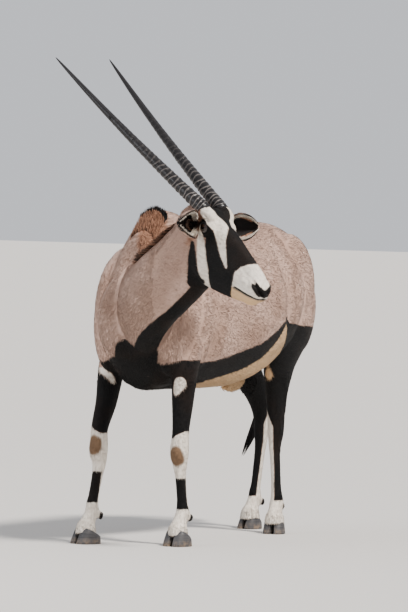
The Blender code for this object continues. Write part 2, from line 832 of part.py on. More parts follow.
def ear(name, key):
    """A cupped ear: a leaf rolled into a tube at its root, with a thickness."""
    aim = EAR_AIM[key].normalized()
    opens = EAR_OPENS[key]
    opens = (opens - aim * opens.dot(aim)).normalized()
    side = aim.cross(opens)
    root = EAR_ROOT[key] + aim * (EAR_SEAT + GAP)
    across, along = 8, 8
    turn_root = math.radians(150)

    def surface(u, v, thick):
        """u runs from root to tip and v across, from -1 to 1."""
        half = 0.042 + 0.030 * math.sin(math.pi * min(u / 0.95, 1))
        if u > 0.45:
            half *= math.sqrt(1 - ((u - 0.45) / 0.56) ** 4)
        wrap = turn_root + (math.radians(80) - turn_root) * min(u / 0.5, 1) ** 0.7
        radius = half / wrap
        thick = min(thick, 0.3 * radius)
        x = math.sin(wrap * v) * (radius - thick)
        y = radius - math.cos(wrap * v) * (radius - thick) - 0.042 / turn_root
        return root + aim * EAR_LENGTH * u + side * x + opens * (y - 0.020 * u * u)

    def build(bm):
        sheets = []
        for thick in (0.0, EAR_THICK):
            sheet = []
            for i in range(along + 1):
                u = i / along
                rib = [surface(u, -1 + 2 * k / across, thick) for k in range(across + 1)]
                sheet.append([bm.verts.new(HEAD @ point) for point in rib])
            sheets.append(sheet)
        outer, inner = sheets
        for i in range(along):
            for k in range(across):
                for sheet in sheets:
                    a, b = sheet[i][k], sheet[i][k + 1]
                    c, d = sheet[i + 1][k + 1], sheet[i + 1][k]
                    bm.faces.new((a, b, c))
                    bm.faces.new((a, c, d))
        for i in range(along):
            for k in (0, across):
                bm.faces.new((outer[i][k], outer[i + 1][k], inner[i + 1][k], inner[i][k]))
        for k in range(across):
            for i in (0, along):
                bm.faces.new((outer[i][k], outer[i][k + 1], inner[i][k + 1], inner[i][k]))

    return object_of(name, build)


def claw(name, leg, kind, side):
    """One half of a cloven hoof, flat on the floor and under the plane of the coronet."""
    length, width = CLAW[kind]["length"], CLAW[kind]["width"]
    turn = math.radians(leg["turn"])
    forward = Vector((math.sin(turn), -math.cos(turn), 0))
    across = Vector((math.cos(turn), math.sin(turn), 0)) * side
    x, y = leg["foot"]
    place, normal = foot_floor(leg)

    def outline(shrink, back):
        """Points round the claw: along the foot and away from the cleft."""
        ring = []
        for k in range(9):
            a = math.pi * k / 8
            reach = -math.cos(a)
            u = reach * length / 2 if reach < 0 else reach * (length / 2 - back)
            ring.append((u, (width - shrink) * (0.16 + 0.84 * math.sin(a) ** 0.75)))
        for share in (0.62, 0.0, -0.62):
            ring.append((share * (length / 2 - (back if share > 0 else 0)), 0.0))
        return ring

    def put(u, v, height):
        spread = CLEFT + (u + length / 2) * math.sin(SPLAY)
        flat = Vector((x, y, 0)) + forward * (u + 0.004) + across * (v + spread)
        if height is None:
            below = place - normal * GAP
            height = below.z - ((flat - below).dot(Vector((normal.x, normal.y, 0)))) / normal.z
        return Vector((flat.x, flat.y, height))

    def build(bm):
        sole = [put(u, v, 0.0) for u, v in outline(0.0015, 0.0)]
        wall = [put(u, v, 0.006) for u, v in outline(0.0, 0.003)]
        top = [put(u, v, None) for u, v in outline(0.005, 0.030)]
        skin_rings(bm, [sole, wall, top])

    return object_of(name, build)


def tail_tuft(name):
    """The black end of the tail: a core half way out, under long hanging locks."""
    draw = random.Random(11)
    path = smooth_rows(TUFT_PATH, 8)
    along = (Vector(TUFT_PATH[1]) - Vector(TUFT_PATH[0])).normalized()
    start = Vector(TUFT_PATH[0]) + along * GAP

    def core(bm):
        rings = []
        for place, radius in (
            (start, 0.0135),
            (start + along * 0.03, 0.016),
            (Vector(path[8]), 0.021),
            (Vector(path[14]), 0.019),
            (Vector(path[20]), 0.012),
            (Vector(path[25]), 0.005),
        ):
            turn = along.to_track_quat("Z", "Y")
            rings.append(
                [
                    place + turn @ Vector((math.cos(a) * radius, math.sin(a) * radius, 0))
                    for a in (2 * math.pi * k / 10 for k in range(10))
                ]
            )
        skin_rings(bm, rings)

    tuft = object_of(name, core)
    pieces = []
    count = 16
    for k in range(count):
        tier = k // 6
        begin = 2 + tier * 6 + draw.choice((0, 1))
        reach = min(len(path) - 1, begin + 14 + draw.choice((0, 2, 4)) + tier * 2)
        a = 2 * math.pi * (k % 6 + 0.5 * tier + draw.uniform(-0.12, 0.12)) / 6
        out = Vector((math.cos(a), math.sin(a), 0))
        spread = draw.uniform(0.85, 1.25)
        line, normals = [], []
        for i in range(4):
            t = i / 3
            at = Vector(path[round(begin + (reach - begin) * t)])
            swell = 0.010 + 0.018 * math.sin(min(t * 1.5, 1) * math.pi / 2) * spread
            swell *= 1 - 0.72 * max(t - 0.5, 0) / 0.5
            line.append(at + out * swell)
            normals.append(out)
        pieces.append(lock(line, normals, (0.020, 0.030, 0.026, 0.012), 0.008))
    unite(tuft, pieces)
    keep_largest(tuft)
    return tuft


COLOURS = {
    "coat": ((0.46, 0.36, 0.30), 0.85),
    "white": ((0.80, 0.76, 0.70), 0.85),
    "black": ((0.022, 0.018, 0.016), 0.75),
    "horn": ((0.035, 0.030, 0.028), 0.45),
    "claw": ((0.10, 0.10, 0.11), 0.5),
    "eye": ((0.010, 0.007, 0.005), 0.08),
}


def material(name):
    """A plain Principled material of one colour."""
    found = bpy.data.materials.get(name)
    if found:
        return found
    colour, rough = COLOURS[name]
    made = bpy.data.materials.new(name)
    made.use_nodes = True
    shader = made.node_tree.nodes["Principled BSDF"]
    shader.inputs["Base Color"].default_value = (*colour, 1)
    shader.inputs["Roughness"].default_value = rough
    shader.inputs["Metallic"].default_value = 0.0
    return made


def finish_of(name):
    """The colour that a node is mostly seen in."""
    if name.startswith("horn"):
        return "horn"
    if name.startswith("claw"):
        return "claw"
    if name.startswith("eye"):
        return "eye"
    if name.endswith("foot") or name.endswith("cannon"):
        return "white"
    if name.endswith("upper") or name.startswith("tail_tuft"):
        return "black" if name != "neck_upper" else "coat"
    return "coat"


def main():
    for obj in list(bpy.data.objects):
        bpy.data.objects.remove(obj)
    body = fused_body()
    add_mane(body)
    part_body(body)
    for key, side in (("left", 1), ("right", -1)):
        horn(f"horn_{key}", side)
        ear(f"ear_{key}", key)
        sphere(f"eye_{key}", HEAD @ (EYE * Vector((side, 1, 1))), EYE_RADIUS)
    for name, leg in FEET.items():
        kind = name.split("_")[0]
        for which, side in (("outer", leg["side"]), ("inner", -leg["side"])):
            claw(f"claw_{name}_{which}", leg, kind, side)
    tail_tuft("tail_tuft")

    nodes = list(bpy.context.scene.objects)
    corners = np.vstack([points_of(obj.data) for obj in nodes])
    middle = (corners.min(0) + corners.max(0)) / 2
    shift = Vector((-middle[0], -middle[1], -corners.min(0)[2]))
    for obj in nodes:
        obj.data.transform(Matrix.Translation(shift))
        obj.data.materials.clear()
        obj.data.materials.append(material(finish_of(obj.name)))
        obj.data.shade_smooth()
        obj.data.set_sharp_from_angle(angle=math.radians(50))
    bpy.context.scene["design_shift"] = shift


if __name__ == "__main__":
    main()
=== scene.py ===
"""The looks of a life-size gemsbok: one skin with its markings, a coat in tufts, mane, tail,
horns, eyes and hooves, on a plain floor.

The forms repeat the solids' own sizes, finer. Everything is built in the design frame, where the
animal faces -Y and its left is +X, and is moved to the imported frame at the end.
"""

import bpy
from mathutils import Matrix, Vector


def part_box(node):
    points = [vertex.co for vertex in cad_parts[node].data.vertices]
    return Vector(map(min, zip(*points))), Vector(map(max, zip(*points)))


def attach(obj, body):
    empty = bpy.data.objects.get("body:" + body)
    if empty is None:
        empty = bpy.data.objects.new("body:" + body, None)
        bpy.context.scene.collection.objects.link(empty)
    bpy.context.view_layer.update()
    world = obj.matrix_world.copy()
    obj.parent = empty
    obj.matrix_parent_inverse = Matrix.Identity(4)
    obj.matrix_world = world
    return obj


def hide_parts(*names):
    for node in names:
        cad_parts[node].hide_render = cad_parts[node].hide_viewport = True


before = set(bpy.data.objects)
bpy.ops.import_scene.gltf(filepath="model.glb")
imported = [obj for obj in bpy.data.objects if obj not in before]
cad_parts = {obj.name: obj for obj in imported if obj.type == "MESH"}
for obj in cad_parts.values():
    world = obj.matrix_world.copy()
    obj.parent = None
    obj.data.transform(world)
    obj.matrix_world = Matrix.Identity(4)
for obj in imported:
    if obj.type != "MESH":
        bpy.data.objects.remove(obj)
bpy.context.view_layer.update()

import math
import random

import bmesh
import bpy
import numpy as np
from mathutils import Matrix, Quaternion, Vector
from mathutils.bvhtree import BVHTree
from mathutils.kdtree import KDTree

# Driving dimensions, as in the solids
WITHERS_Z = 1.186
CROUP_Z = 1.135
BELLY_Z = 0.550
BARREL_HALF = 0.230
FACE_LENGTH = 0.398
MUZZLE_TRIM = 0.007
HORN_LENGTH = 0.855
HORN_RADIUS = 0.0238
HORN_RINGS = 24
HORN_SPREAD = math.radians(5.9)
HORN_LEAN = math.radians(2.2)
HORN_SEAT = 0.012
EYE_RADIUS = 0.0205
EAR_LENGTH = 0.165
EAR_SEAT = 0.012
KNEE_Z = 0.325
HOCK_Z = 0.390
FETLOCK_Z = 0.112
CORONET_Z = 0.054
CORONET_SLOPE = 0.42
CLEFT = 0.0016
SPLAY = math.radians(2)
DOCK_RADIUS = 0.015

# How the head is carried, from the middle between the horn bases
POLL = Vector((0.408, -0.700, 1.2027))
HEAD = (
    Matrix.Translation(POLL)
    @ Matrix.Rotation(math.radians(72.4), 4, "Z")
    @ Matrix.Rotation(math.radians(39.7), 4, "X")
)

# Places on the head: to its left, towards the poll, out of the face
HORN_BASE = Vector((0.040, -0.014, -0.010))
EYE = Vector((0.0560, -0.069, -0.043))
EAR_ROOT = {"left": Vector((0.062, -0.006, -0.092)), "right": Vector((-0.062, -0.004, -0.082))}
EAR_AIM = {"left": Vector((0.93, -0.26, 0.24)), "right": Vector((-0.76, -0.48, 0.44))}
EAR_OPENS = {"left": Vector((-0.41, -0.70, 0.59)), "right": Vector((0.65, -0.58, 0.49))}

# Where the legs stand. A turn is how far the toes point to the animal's left.
FEET = {
    "front_left": dict(side=1, joint=(0.153, -0.432), foot=(0.160, -0.446), turn=-6),
    "front_right": dict(side=-1, joint=(-0.136, -0.500), foot=(-0.141, -0.570), turn=-22),
    "hind_left": dict(side=1, joint=(0.078, 0.438), foot=(0.101, 0.395), turn=14),
    "hind_right": dict(side=-1, joint=(-0.078, 0.622), foot=(-0.094, 0.575), turn=-10),
}
CLAW = {"front": dict(length=0.104, width=0.043), "hind": dict(length=0.094, width=0.037)}
DOCK_END = Vector((-0.030, 0.748, 0.800))
TUFT_PATH = [
    (-0.030, 0.748, 0.800),
    (-0.060, 0.758, 0.700),
    (-0.105, 0.758, 0.560),
    (-0.160, 0.745, 0.400),
    (-0.212, 0.722, 0.255),
]
NECK = [
    (0.000, -0.340, 0.880, 0.110, 0.230),
    (0.022, -0.450, 0.850, 0.112, 0.205),
    (0.062, -0.540, 0.843, 0.108, 0.172),
    (0.108, -0.600, 0.868, 0.100, 0.146),
    (0.155, -0.632, 0.901, 0.094, 0.134),
    (0.212, -0.650, 0.943, 0.088, 0.131),
    (0.278, -0.666, 0.995, 0.082, 0.128),
    (0.325, -0.674, 1.048, 0.078, 0.122),
    (0.355, -0.680, 1.103, 0.074, 0.110),
]

# Fineness and depth of the skin
VOXEL = 0.0055
SIDES = 32
COAT_DEPTH = 0.0020
ROOT_DEPTH = 0.0007
UP = Vector((0, 0, 1))

# How far the cannon stands behind the middle of the foot
CANNON_BACK = 0.022

# The grid of an ear's sheets, its half width and swell, its curl at root and middle, its bends
EAR_ROWS = 40
EAR_COLUMNS = 32
EAR_THICK = 0.0028
EAR_HALF = 0.042
EAR_SWELL = 0.040
EAR_CURL_ROOT = math.radians(150)
EAR_CURL = math.radians(94)
EAR_SAG = 0.034
EAR_LIFT = 0.022

# The markings, and the depth in metres at which each is cut off
MARKS = ("black", "white", "cream", "warm", "tan")
LIMIT = 0.05

# Middle of the lids and of the skin round a horn, on the head
LIDS = (0.066, 0.069, -0.043)
HORN_SKIN = (0.042, 0.0, -0.006)

# The photograph's point of view, in degrees, metres and millimetres
VIEW = dict(azimuth=28.4, elevation=1.5, roll=1.2, distance=20, lens=326.7)
VIEW_MIDDLE = Vector((0.0015, 0.0008, 0.835))


def smooth_rows(rows, steps=6):
    """Rows of numbers passed through a Catmull-Rom curve, with so many steps to each span."""
    rows = np.array(rows, float)
    ends = np.vstack([2 * rows[0] - rows[1], rows, 2 * rows[-1] - rows[-2]])
    out = []
    for i in range(len(rows) - 1):
        a, b, c, d = ends[i : i + 4]
        for t in np.arange(steps) / steps:
            bend = (2 * a - 5 * b + 4 * c - d) * t**2 + (3 * b - a - 3 * c + d) * t**3
            out.append(0.5 * (2 * b + (c - a) * t + bend))
    out.append(rows[-1])
    return np.array(out)


def skin_rings(bm, rings):
    """Joins rings of points into one closed tube with flat ends."""
    loops = [[bm.verts.new(p) for p in ring] for ring in rings]
    count = len(loops[0])
    for low, high in zip(loops, loops[1:]):
        for i in range(count):
            j = (i + 1) % count
            bm.faces.new((low[i], low[j], high[j], high[i]))
    bm.faces.new(loops[0][::-1])
    bm.faces.new(loops[-1])


def barrel(bm, rows, matrix=Matrix()):
    """Upright sections along -Y. A row is distance, top, bottom, half width, narrowing at the top."""
    square = 2.25
    rings = []
    for along, top, bottom, half, narrow in smooth_rows(rows, 8):
        middle = (top + bottom) / 2
        ring = []
        for k in range(SIDES):
            turn = 2 * math.pi * k / SIDES
            c, s = math.cos(turn), math.sin(turn)
            x = half * math.copysign(abs(c) ** (2 / square), c) * (1 - narrow * max(s, 0))
            z = (top - bottom) / 2 * math.copysign(abs(s) ** (2 / square), s)
            ring.append(matrix @ Vector((x, -along, middle + z)))
        rings.append(ring)
    skin_rings(bm, rings)


def frames(rows, up):
    """Each row's place with its side and rise directions across the path."""
    for i, row in enumerate(rows):
        ahead = Vector(rows[min(i + 1, len(rows) - 1)][:3]) - Vector(rows[max(i - 1, 0)][:3])
        side = ahead.cross(up).normalized()
        yield row, Vector(row[:3]), side, side.cross(ahead).normalized()


def tube(bm, rows, up=Vector((0, -1, 0))):
    """A bent tube of oval section. A row is x, y, z, half width across, half width along up."""
    rings = []
    for row, place, side, rise in frames(smooth_rows(rows, 6), up):
        ring = []
        for k in range(SIDES):
            turn = 2 * math.pi * k / SIDES
            ring.append(place + side * row[3] * math.cos(turn) + rise * row[4] * math.sin(turn))
        rings.append(ring)
    skin_rings(bm, rings)


def ball(bm, centre, radii, matrix=Matrix(), tilt=0.0):
    """An ellipsoid, tilted about the side to side axis."""
    place = (
        matrix
        @ Matrix.Translation(centre)
        @ Matrix.Rotation(math.radians(tilt), 4, "X")
        @ Matrix.Diagonal((*radii, 1))
    )
    bmesh.ops.create_uvsphere(bm, u_segments=32, v_segments=20, radius=1, matrix=place)


def hoop(bm, centre, axis, radii, thick, matrix):
    """A closed ring of round section, oval in plan, about an axis."""
    turn = UP.rotation_difference(axis)
    count, around = 36, 10
    loops = []
    for i in range(count):
        a = 2 * math.pi * i / count
        spoke = Vector((math.cos(a) * radii[0], math.sin(a) * radii[1], 0))
        loop = []
        for k in range(around):
            b = 2 * math.pi * k / around
            point = spoke * (1 + thick * math.cos(b) / spoke.length) + UP * thick * math.sin(b)
            loop.append(bm.verts.new(matrix @ (centre + turn @ point)))
        loops.append(loop)
    for i in range(count):
        a, b = loops[i], loops[(i + 1) % count]
        for k in range(around):
            after = (k + 1) % around
            bm.faces.new((a[k], b[k], b[after], a[after]))


def torso(bm):
    """The trunk from the point of the breast to the buttocks."""
    top, croup, belly, half = WITHERS_Z, CROUP_Z, BELLY_Z, BARREL_HALF
    barrel(
        bm,
        [
            (0.625, 0.87, 0.74, 0.040, 0.0),
            (0.600, 0.93, 0.68, 0.095, 0.1),
            (0.535, 1.00, 0.61, 0.130, 0.3),
            (0.450, top - 0.07, belly, 0.160, 0.34),
            (0.370, top - 0.01, belly - 0.006, 0.182, 0.40),
            (0.290, top - 0.008, belly - 0.006, 0.196, 0.34),
            (0.170, top - 0.040, belly - 0.006, 0.208, 0.24),
            (0.020, croup + 0.002, belly - 0.008, half - 0.005, 0.20),
            (-0.120, croup - 0.008, belly - 0.002, half, 0.15),
            (-0.260, croup, belly + 0.026, half - 0.010, 0.15),
            (-0.380, croup + 0.006, belly + 0.080, 0.202, 0.25),
            (-0.480, croup - 0.006, 0.70, 0.172, 0.25),
            (-0.570, croup - 0.038, 0.77, 0.130, 0.15),
            (-0.640, croup - 0.100, 0.87, 0.080, 0.0),
        ],
    )
    for side in (-1, 1):
        ball(bm, (side * 0.118, -0.405, 0.82), (0.070, 0.135, 0.230), tilt=-14)
        ball(bm, (side * 0.104, 0.440, 0.900), (0.084, 0.165, 0.200))
        ball(bm, (side * 0.055, 0.400, 1.060), (0.080, 0.090, 0.058))
    ball(bm, (0, 0.240, 0.562), (0.028, 0.075, 0.040), tilt=10)
    ball(bm, (0, 0.180, 0.543), (0.013, 0.028, 0.015), tilt=20)
    ball(bm, (0, 0.520, 0.705), (0.036, 0.042, 0.075))


def head(bm):
    """The skull, cheeks and muzzle, with the bosses that carry horns, ears and lids."""
    end = FACE_LENGTH - MUZZLE_TRIM
    barrel(
        bm,
        [
            (-0.070, -0.048, -0.140, 0.050, 0.0),
            (-0.030, -0.028, -0.185, 0.066, 0.0),
            (0.020, 0.004, -0.225, 0.072, 0.0),
            (0.075, 0.004, -0.238, 0.070, 0.0),
            (0.130, 0.001, -0.232, 0.062, 0.1),
            (0.190, -0.002, -0.214, 0.054, 0.2),
            (0.250, -0.007, -0.190, 0.047, 0.2),
            (0.300, -0.011, -0.166, 0.043, 0.2),
            (0.338, -0.017, -0.146, 0.043, 0.2),
            (0.362, -0.028, -0.132, 0.041, 0.2),
            (end - 0.010, -0.043, -0.114, 0.035, 0.1),
            (end, -0.055, -0.100, 0.026, 0.0),
            (end + 0.005, -0.064, -0.088, 0.015, 0.0),
        ],
        HEAD,
    )
    ball(bm, (0, 0.000, -0.088), (0.070, 0.074, 0.062), HEAD)
    ball(bm, (0, -0.344, -0.118), (0.034, 0.036, 0.022), HEAD)
    for side in (-1, 1):
        out = Vector((side, 1, 1))
        ball(bm, EYE * out + Vector((-side * 0.010, 0.002, 0.004)), (0.022, 0.042, 0.027), HEAD)
        ball(bm, (side * 0.042, -0.100, -0.142), (0.026, 0.085, 0.070), HEAD, tilt=-10)
        ball(bm, (side * 0.023, -0.358, -0.064), (0.022, 0.030, 0.030), HEAD)
        ball(bm, HORN_BASE * out + Vector((0, -0.016, -0.003)), (0.029, 0.046, 0.028), HEAD)
        axis = Vector((side, -0.16, 0.10)).normalized()
        hoop(bm, EYE * out + axis * 0.0120, axis, (0.0140, 0.0180), 0.0050, HEAD)
    for root in EAR_ROOT.values():
        ball(bm, root, (0.024, 0.024, 0.024), HEAD)


def foot_axes(leg):
    """The way the toes point, and the way across them to the animal's left."""
    turn = math.radians(leg["turn"])
    return Vector((math.sin(turn), -math.cos(turn), 0)), Vector((math.cos(turn), math.sin(turn), 0))


def ahead(leg, distance):
    """A point in front of the foot's middle, the way its toes point."""
    forward, _ = foot_axes(leg)
    x, y = leg["foot"]
    return x + forward.x * distance, y + forward.y * distance


def lower_leg(leg, joint, top, across, along):
    """Rows from the cannon to the coronet. Across and along are the cannon's half widths."""
    kx, ky = joint
    x, y = ahead(leg, -CANNON_BACK)
    fx, fy = ahead(leg, -0.008)
    return [
        (0.75 * kx + 0.25 * x, 0.75 * ky + 0.25 * y, top, across * 1.04, along * 1.04),
        (0.25 * kx + 0.75 * x, 0.25 * ky + 0.75 * y, FETLOCK_Z + 0.060, across, along),
        (x, y, FETLOCK_Z + 0.024, across + 0.003, along + 0.004),
        (x, y, FETLOCK_Z, across + 0.0065, along + 0.0070),
        (fx, fy, FETLOCK_Z - 0.026, across + 0.0065, along + 0.0035),
        (*ahead(leg, 0.002), CORONET_Z + 0.006, across + 0.0155, along + 0.0110),
        (*ahead(leg, 0.006), CORONET_Z - 0.022, across + 0.0185, along + 0.0150),
    ]


def foreleg(bm, leg):
    """A foreleg from inside the shoulder to the coronet, with its dewclaws."""
    side = leg["side"]
    kx, ky = leg["joint"]
    tube(
        bm,
        [
            (side * 0.110, -0.375, 0.800, 0.062, 0.110),
            (side * 0.130, -0.380, 0.690, 0.056, 0.088),
            (0.7 * side * 0.140 + 0.3 * kx, 0.3 * ky - 0.7 * 0.385, 0.610, 0.044, 0.063),
            (0.4 * side * 0.140 + 0.6 * kx, 0.6 * ky - 0.4 * 0.385, 0.500, 0.037, 0.046),
            (kx, ky, KNEE_Z + 0.085, 0.031, 0.034),
            (kx, ky - 0.004, KNEE_Z + 0.030, 0.033, 0.035),
            (kx, ky - 0.006, KNEE_Z, 0.034, 0.036),
            (kx, ky, KNEE_Z - 0.042, 0.026, 0.029),
            *lower_leg(leg, leg["joint"], KNEE_Z - 0.085, 0.0185, 0.0235),
        ],
    )
    dewclaws(bm, leg, 0.040)


def thigh(leg, share, forward):
    """A point between the haunch and the hock, brought forward towards the stifle."""
    kx, ky = leg["joint"]
    return leg["side"] * 0.106 * (1 - share) + kx * share, 0.455 * (1 - share) + ky * share - forward


def hind_leg(bm, leg):
    """A hind leg from inside the haunch to the coronet, with its dewclaws."""
    side = leg["side"]
    kx, ky = leg["joint"]
    tube(
        bm,
        [
            (side * 0.085, 0.470, 0.960, 0.068, 0.150),
            (side * 0.098, 0.468, 0.860, 0.080, 0.166),
            (side * 0.102, 0.460, 0.780, 0.073, 0.158),
            (*thigh(leg, 0.15, 0.022), 0.700, 0.060, 0.128),
            (*thigh(leg, 0.40, 0.032), 0.620, 0.049, 0.093),
            (*thigh(leg, 0.72, 0.022), 0.540, 0.039, 0.066),
            (*thigh(leg, 0.94, 0.012), 0.465, 0.032, 0.050),
            (kx, ky - 0.004, HOCK_Z + 0.015, 0.028, 0.044),
            (kx, ky - 0.006, HOCK_Z - 0.025, 0.028, 0.038),
            (kx, ky - 0.010, HOCK_Z - 0.075, 0.0215, 0.0300),
            *lower_leg(leg, (kx, ky - 0.010), HOCK_Z - 0.125, 0.0180, 0.0250),
        ],
    )
    dewclaws(bm, leg, 0.038)


def dewclaws(bm, leg, behind):
    """The two small claws behind the fetlock."""
    _, across = foot_axes(leg)
    x, y = ahead(leg, -0.024 - behind * 0.62)
    for side in (-1, 1):
        centre = Vector((x, y, FETLOCK_Z - 0.012)) + across * side * 0.015
        ball(bm, centre, (0.0095, 0.013, 0.015), tilt=-35)


def dock(bm):
    """The bare part of the tail, into the root of its hair."""
    radius = DOCK_RADIUS
    tube(
        bm,
        [
            (0, 0.600, 1.060, radius * 1.5, radius * 1.5),
            (0, 0.672, 1.035, radius * 1.5, radius * 1.4),
            (-0.004, 0.715, 0.960, radius * 1.15, radius * 1.1),
            (-0.014, 0.738, 0.880, radius, radius),
            (*DOCK_END, radius * 0.9, radius * 0.9),
            (*TUFT_PATH[1], radius * 0.7, radius * 0.7),
            (*TUFT_PATH[2], radius * 0.4, radius * 0.4),
        ],
    )


def body_pieces(bm):
    torso(bm)
    tube(bm, NECK, up=UP)
    head(bm)
    dock(bm)
    for name, leg in FEET.items():
        if name.startswith("front"):
            foreleg(bm, leg)
        else:
            hind_leg(bm, leg)


def new_object(name, mesh):
    obj = bpy.data.objects.new(name, mesh)
    bpy.context.scene.collection.objects.link(obj)
    return obj


def object_of(name, build):
    """An object from a function that fills a bmesh, with its faces turned outwards."""
    bm = bmesh.new()
    build(bm)
    bmesh.ops.recalc_face_normals(bm, faces=bm.faces)
    mesh = bpy.data.meshes.new(name)
    bm.to_mesh(mesh)
    bm.free()
    return new_object(name, mesh)


def apply(obj):
    """Replaces the object's mesh by the mesh that its modifiers give."""
    graph = bpy.context.evaluated_depsgraph_get()
    mesh = bpy.data.meshes.new_from_object(obj.evaluated_get(graph))
    obj.modifiers.clear()
    obj.data = mesh


def points_of(mesh):
    points = np.empty(len(mesh.vertices) * 3)
    mesh.vertices.foreach_get("co", points)
    return points.reshape(-1, 3)


def normals_of(mesh):
    normals = np.empty(len(mesh.vertices) * 3)
    mesh.vertex_normals.foreach_get("vector", normals)
    return normals.reshape(-1, 3)


def set_points(mesh, points):
    mesh.vertices.foreach_set("co", points.ravel())
    mesh.update()


def relax(mesh, rounds):
    """Taubin smoothing: each round pulls the points to their neighbours and pushes them back."""
    points = points_of(mesh)
    edges = np.empty(len(mesh.edges) * 2, int)
    mesh.edges.foreach_get("vertices", edges)
    a, b = edges.reshape(-1, 2).T
    many = len(points)
    degree = (np.bincount(a, minlength=many) + np.bincount(b, minlength=many))[:, None]
    for _ in range(rounds):
        for pull in (0.5, -0.51):
            total = np.column_stack(
                [
                    np.bincount(a, points[b, i], many) + np.bincount(b, points[a, i], many)
                    for i in range(3)
                ]
            )
            points = points + pull * (total / degree - points)
    set_points(mesh, points)


def on_head(points):
    """Points in the frame of the head: to its left, down the face, out of the face."""
    inverse = np.array(HEAD.inverted())
    local = points @ inverse[:3, :3].T + inverse[:3, 3]
    return local * (1, -1, 1)


def head_share(points):
    """1 on the face, falling to 0 behind the ears."""
    x, s, f = on_head(points).T
    inside = (np.abs(x) < 0.12) & (s < FACE_LENGTH + 0.02) & (f < 0.05) & (f > -0.25)
    return np.clip((s + 0.055) / 0.03, 0, 1) * inside


def refine(mesh, chosen):
    """Splits the faces whose corners are all chosen in four."""
    bm = bmesh.new()
    bm.from_mesh(mesh)
    bm.verts.ensure_lookup_table()
    edges = [e for e in bm.edges if chosen[e.verts[0].index] and chosen[e.verts[1].index]]
    bmesh.ops.subdivide_edges(bm, edges=edges, cuts=1, use_grid_fill=True)
    bmesh.ops.triangulate(bm, faces=[f for f in bm.faces if len(f.verts) > 4])
    bm.to_mesh(mesh)
    bm.free()


def reach(points, path):
    """How far each point is from a path, and the share of the path that is nearest."""
    path = np.array(path, float)
    best = np.full(len(points), 1e9)
    where = np.zeros(len(points))
    spans = len(path) - 1
    for i in range(spans):
        start, run = path[i], path[i + 1] - path[i]
        share = np.clip((points - start) @ run / (run @ run), 0, 1)
        far = np.linalg.norm(points - start - share[:, None] * run, axis=1)
        nearer = far < best
        best[nearer] = far[nearer]
        where[nearer] = i + share[nearer]
    return best, where


def capsule(points, path, radii):
    """Signed depth inside a stroke of changing radius: positive inside, in metres."""
    far, where = reach(points, path)
    return np.interp(where, np.arange(len(path)), np.broadcast_to(radii, len(path))) - far


def stroke(points, normals, path, radius, height):
    """Raises the skin along a path, or presses it in where the height is negative."""
    far, _ = reach(points, path)
    rise = np.clip(1 - (far / radius) ** 2, 0, 1) ** 2
    return points + normals * (height * rise)[:, None]


def mirrored(path):
    """The path for the animal's left, then for its right."""
    return [[(side * x, y, z) for x, y, z in path] for side in (1, -1)]


MOUTH = [
    (0.0405, 0.292, -0.116),
    (0.0400, 0.326, -0.104),
    (0.0400, 0.352, -0.096),
    (0.0355, 0.375, -0.089),
    (0.0220, 0.388, -0.085),
    (0.0000, 0.394, -0.084),
]
NOSTRIL = [
    (0.009, 0.391, -0.068),
    (0.018, 0.387, -0.061),
    (0.029, 0.376, -0.052),
    (0.037, 0.360, -0.043),
    (0.037, 0.347, -0.038),
]

# Strokes on the head: path, radius, height
FACE_FORMS = [
    (MOUTH, 0.0060, -0.0075),
    ([(x, s, f + 0.009) for x, s, f in MOUTH], 0.008, 0.0016),
    (NOSTRIL, 0.0100, -0.0125),
    ([(x + 0.004, s - 0.004, f + 0.012) for x, s, f in NOSTRIL[1:]], 0.008, 0.0030),
    ([(x, s - 0.012, f - 0.010) for x, s, f in NOSTRIL[2:]], 0.009, 0.0020),
    ([(0, 0.393, -0.062), (0, 0.392, -0.082)], 0.004, -0.0016),
    ([(0.050, 0.200, -0.030), (0.048, 0.300, -0.045)], 0.030, -0.003),
    ([(0.075, 0.105, -0.062), (0.062, 0.170, -0.086), (0.054, 0.235, -0.098)], 0.016, 0.0028),
    ([(0.066, 0.150, -0.128), (0.056, 0.225, -0.132)], 0.026, -0.0024),
    ([(0.074, 0.045, -0.070), (0.074, 0.090, -0.072), (0.068, 0.110, -0.060)], 0.007, -0.0016),
    ([(0.070, 0.040, -0.018), (0.071, 0.070, -0.014), (0.064, 0.098, -0.024)], 0.010, 0.0026),
    ([(0.068, 0.040, -0.009), (0.068, 0.074, -0.004)], 0.006, -0.0012),
    ([(0.050, 0.055, 0.012), (0.040, 0.120, 0.004)], 0.018, 0.002),
    ([(0, 0.06, 0.01), (0, 0.18, 0.0)], 0.018, -0.0016),
    ([(0.030, 0.13, -0.225), (0.026, 0.26, -0.185)], 0.014, 0.002),
    ([(0, 0.14, -0.235), (0, 0.29, -0.170)], 0.014, -0.003),
    ([(0.043, 0.300, -0.066), (0.043, 0.325, -0.068)], 0.016, 0.0022),
    ([(0.040, 0.285, -0.045), (0.038, 0.335, -0.040)], 0.012, -0.0022),
]

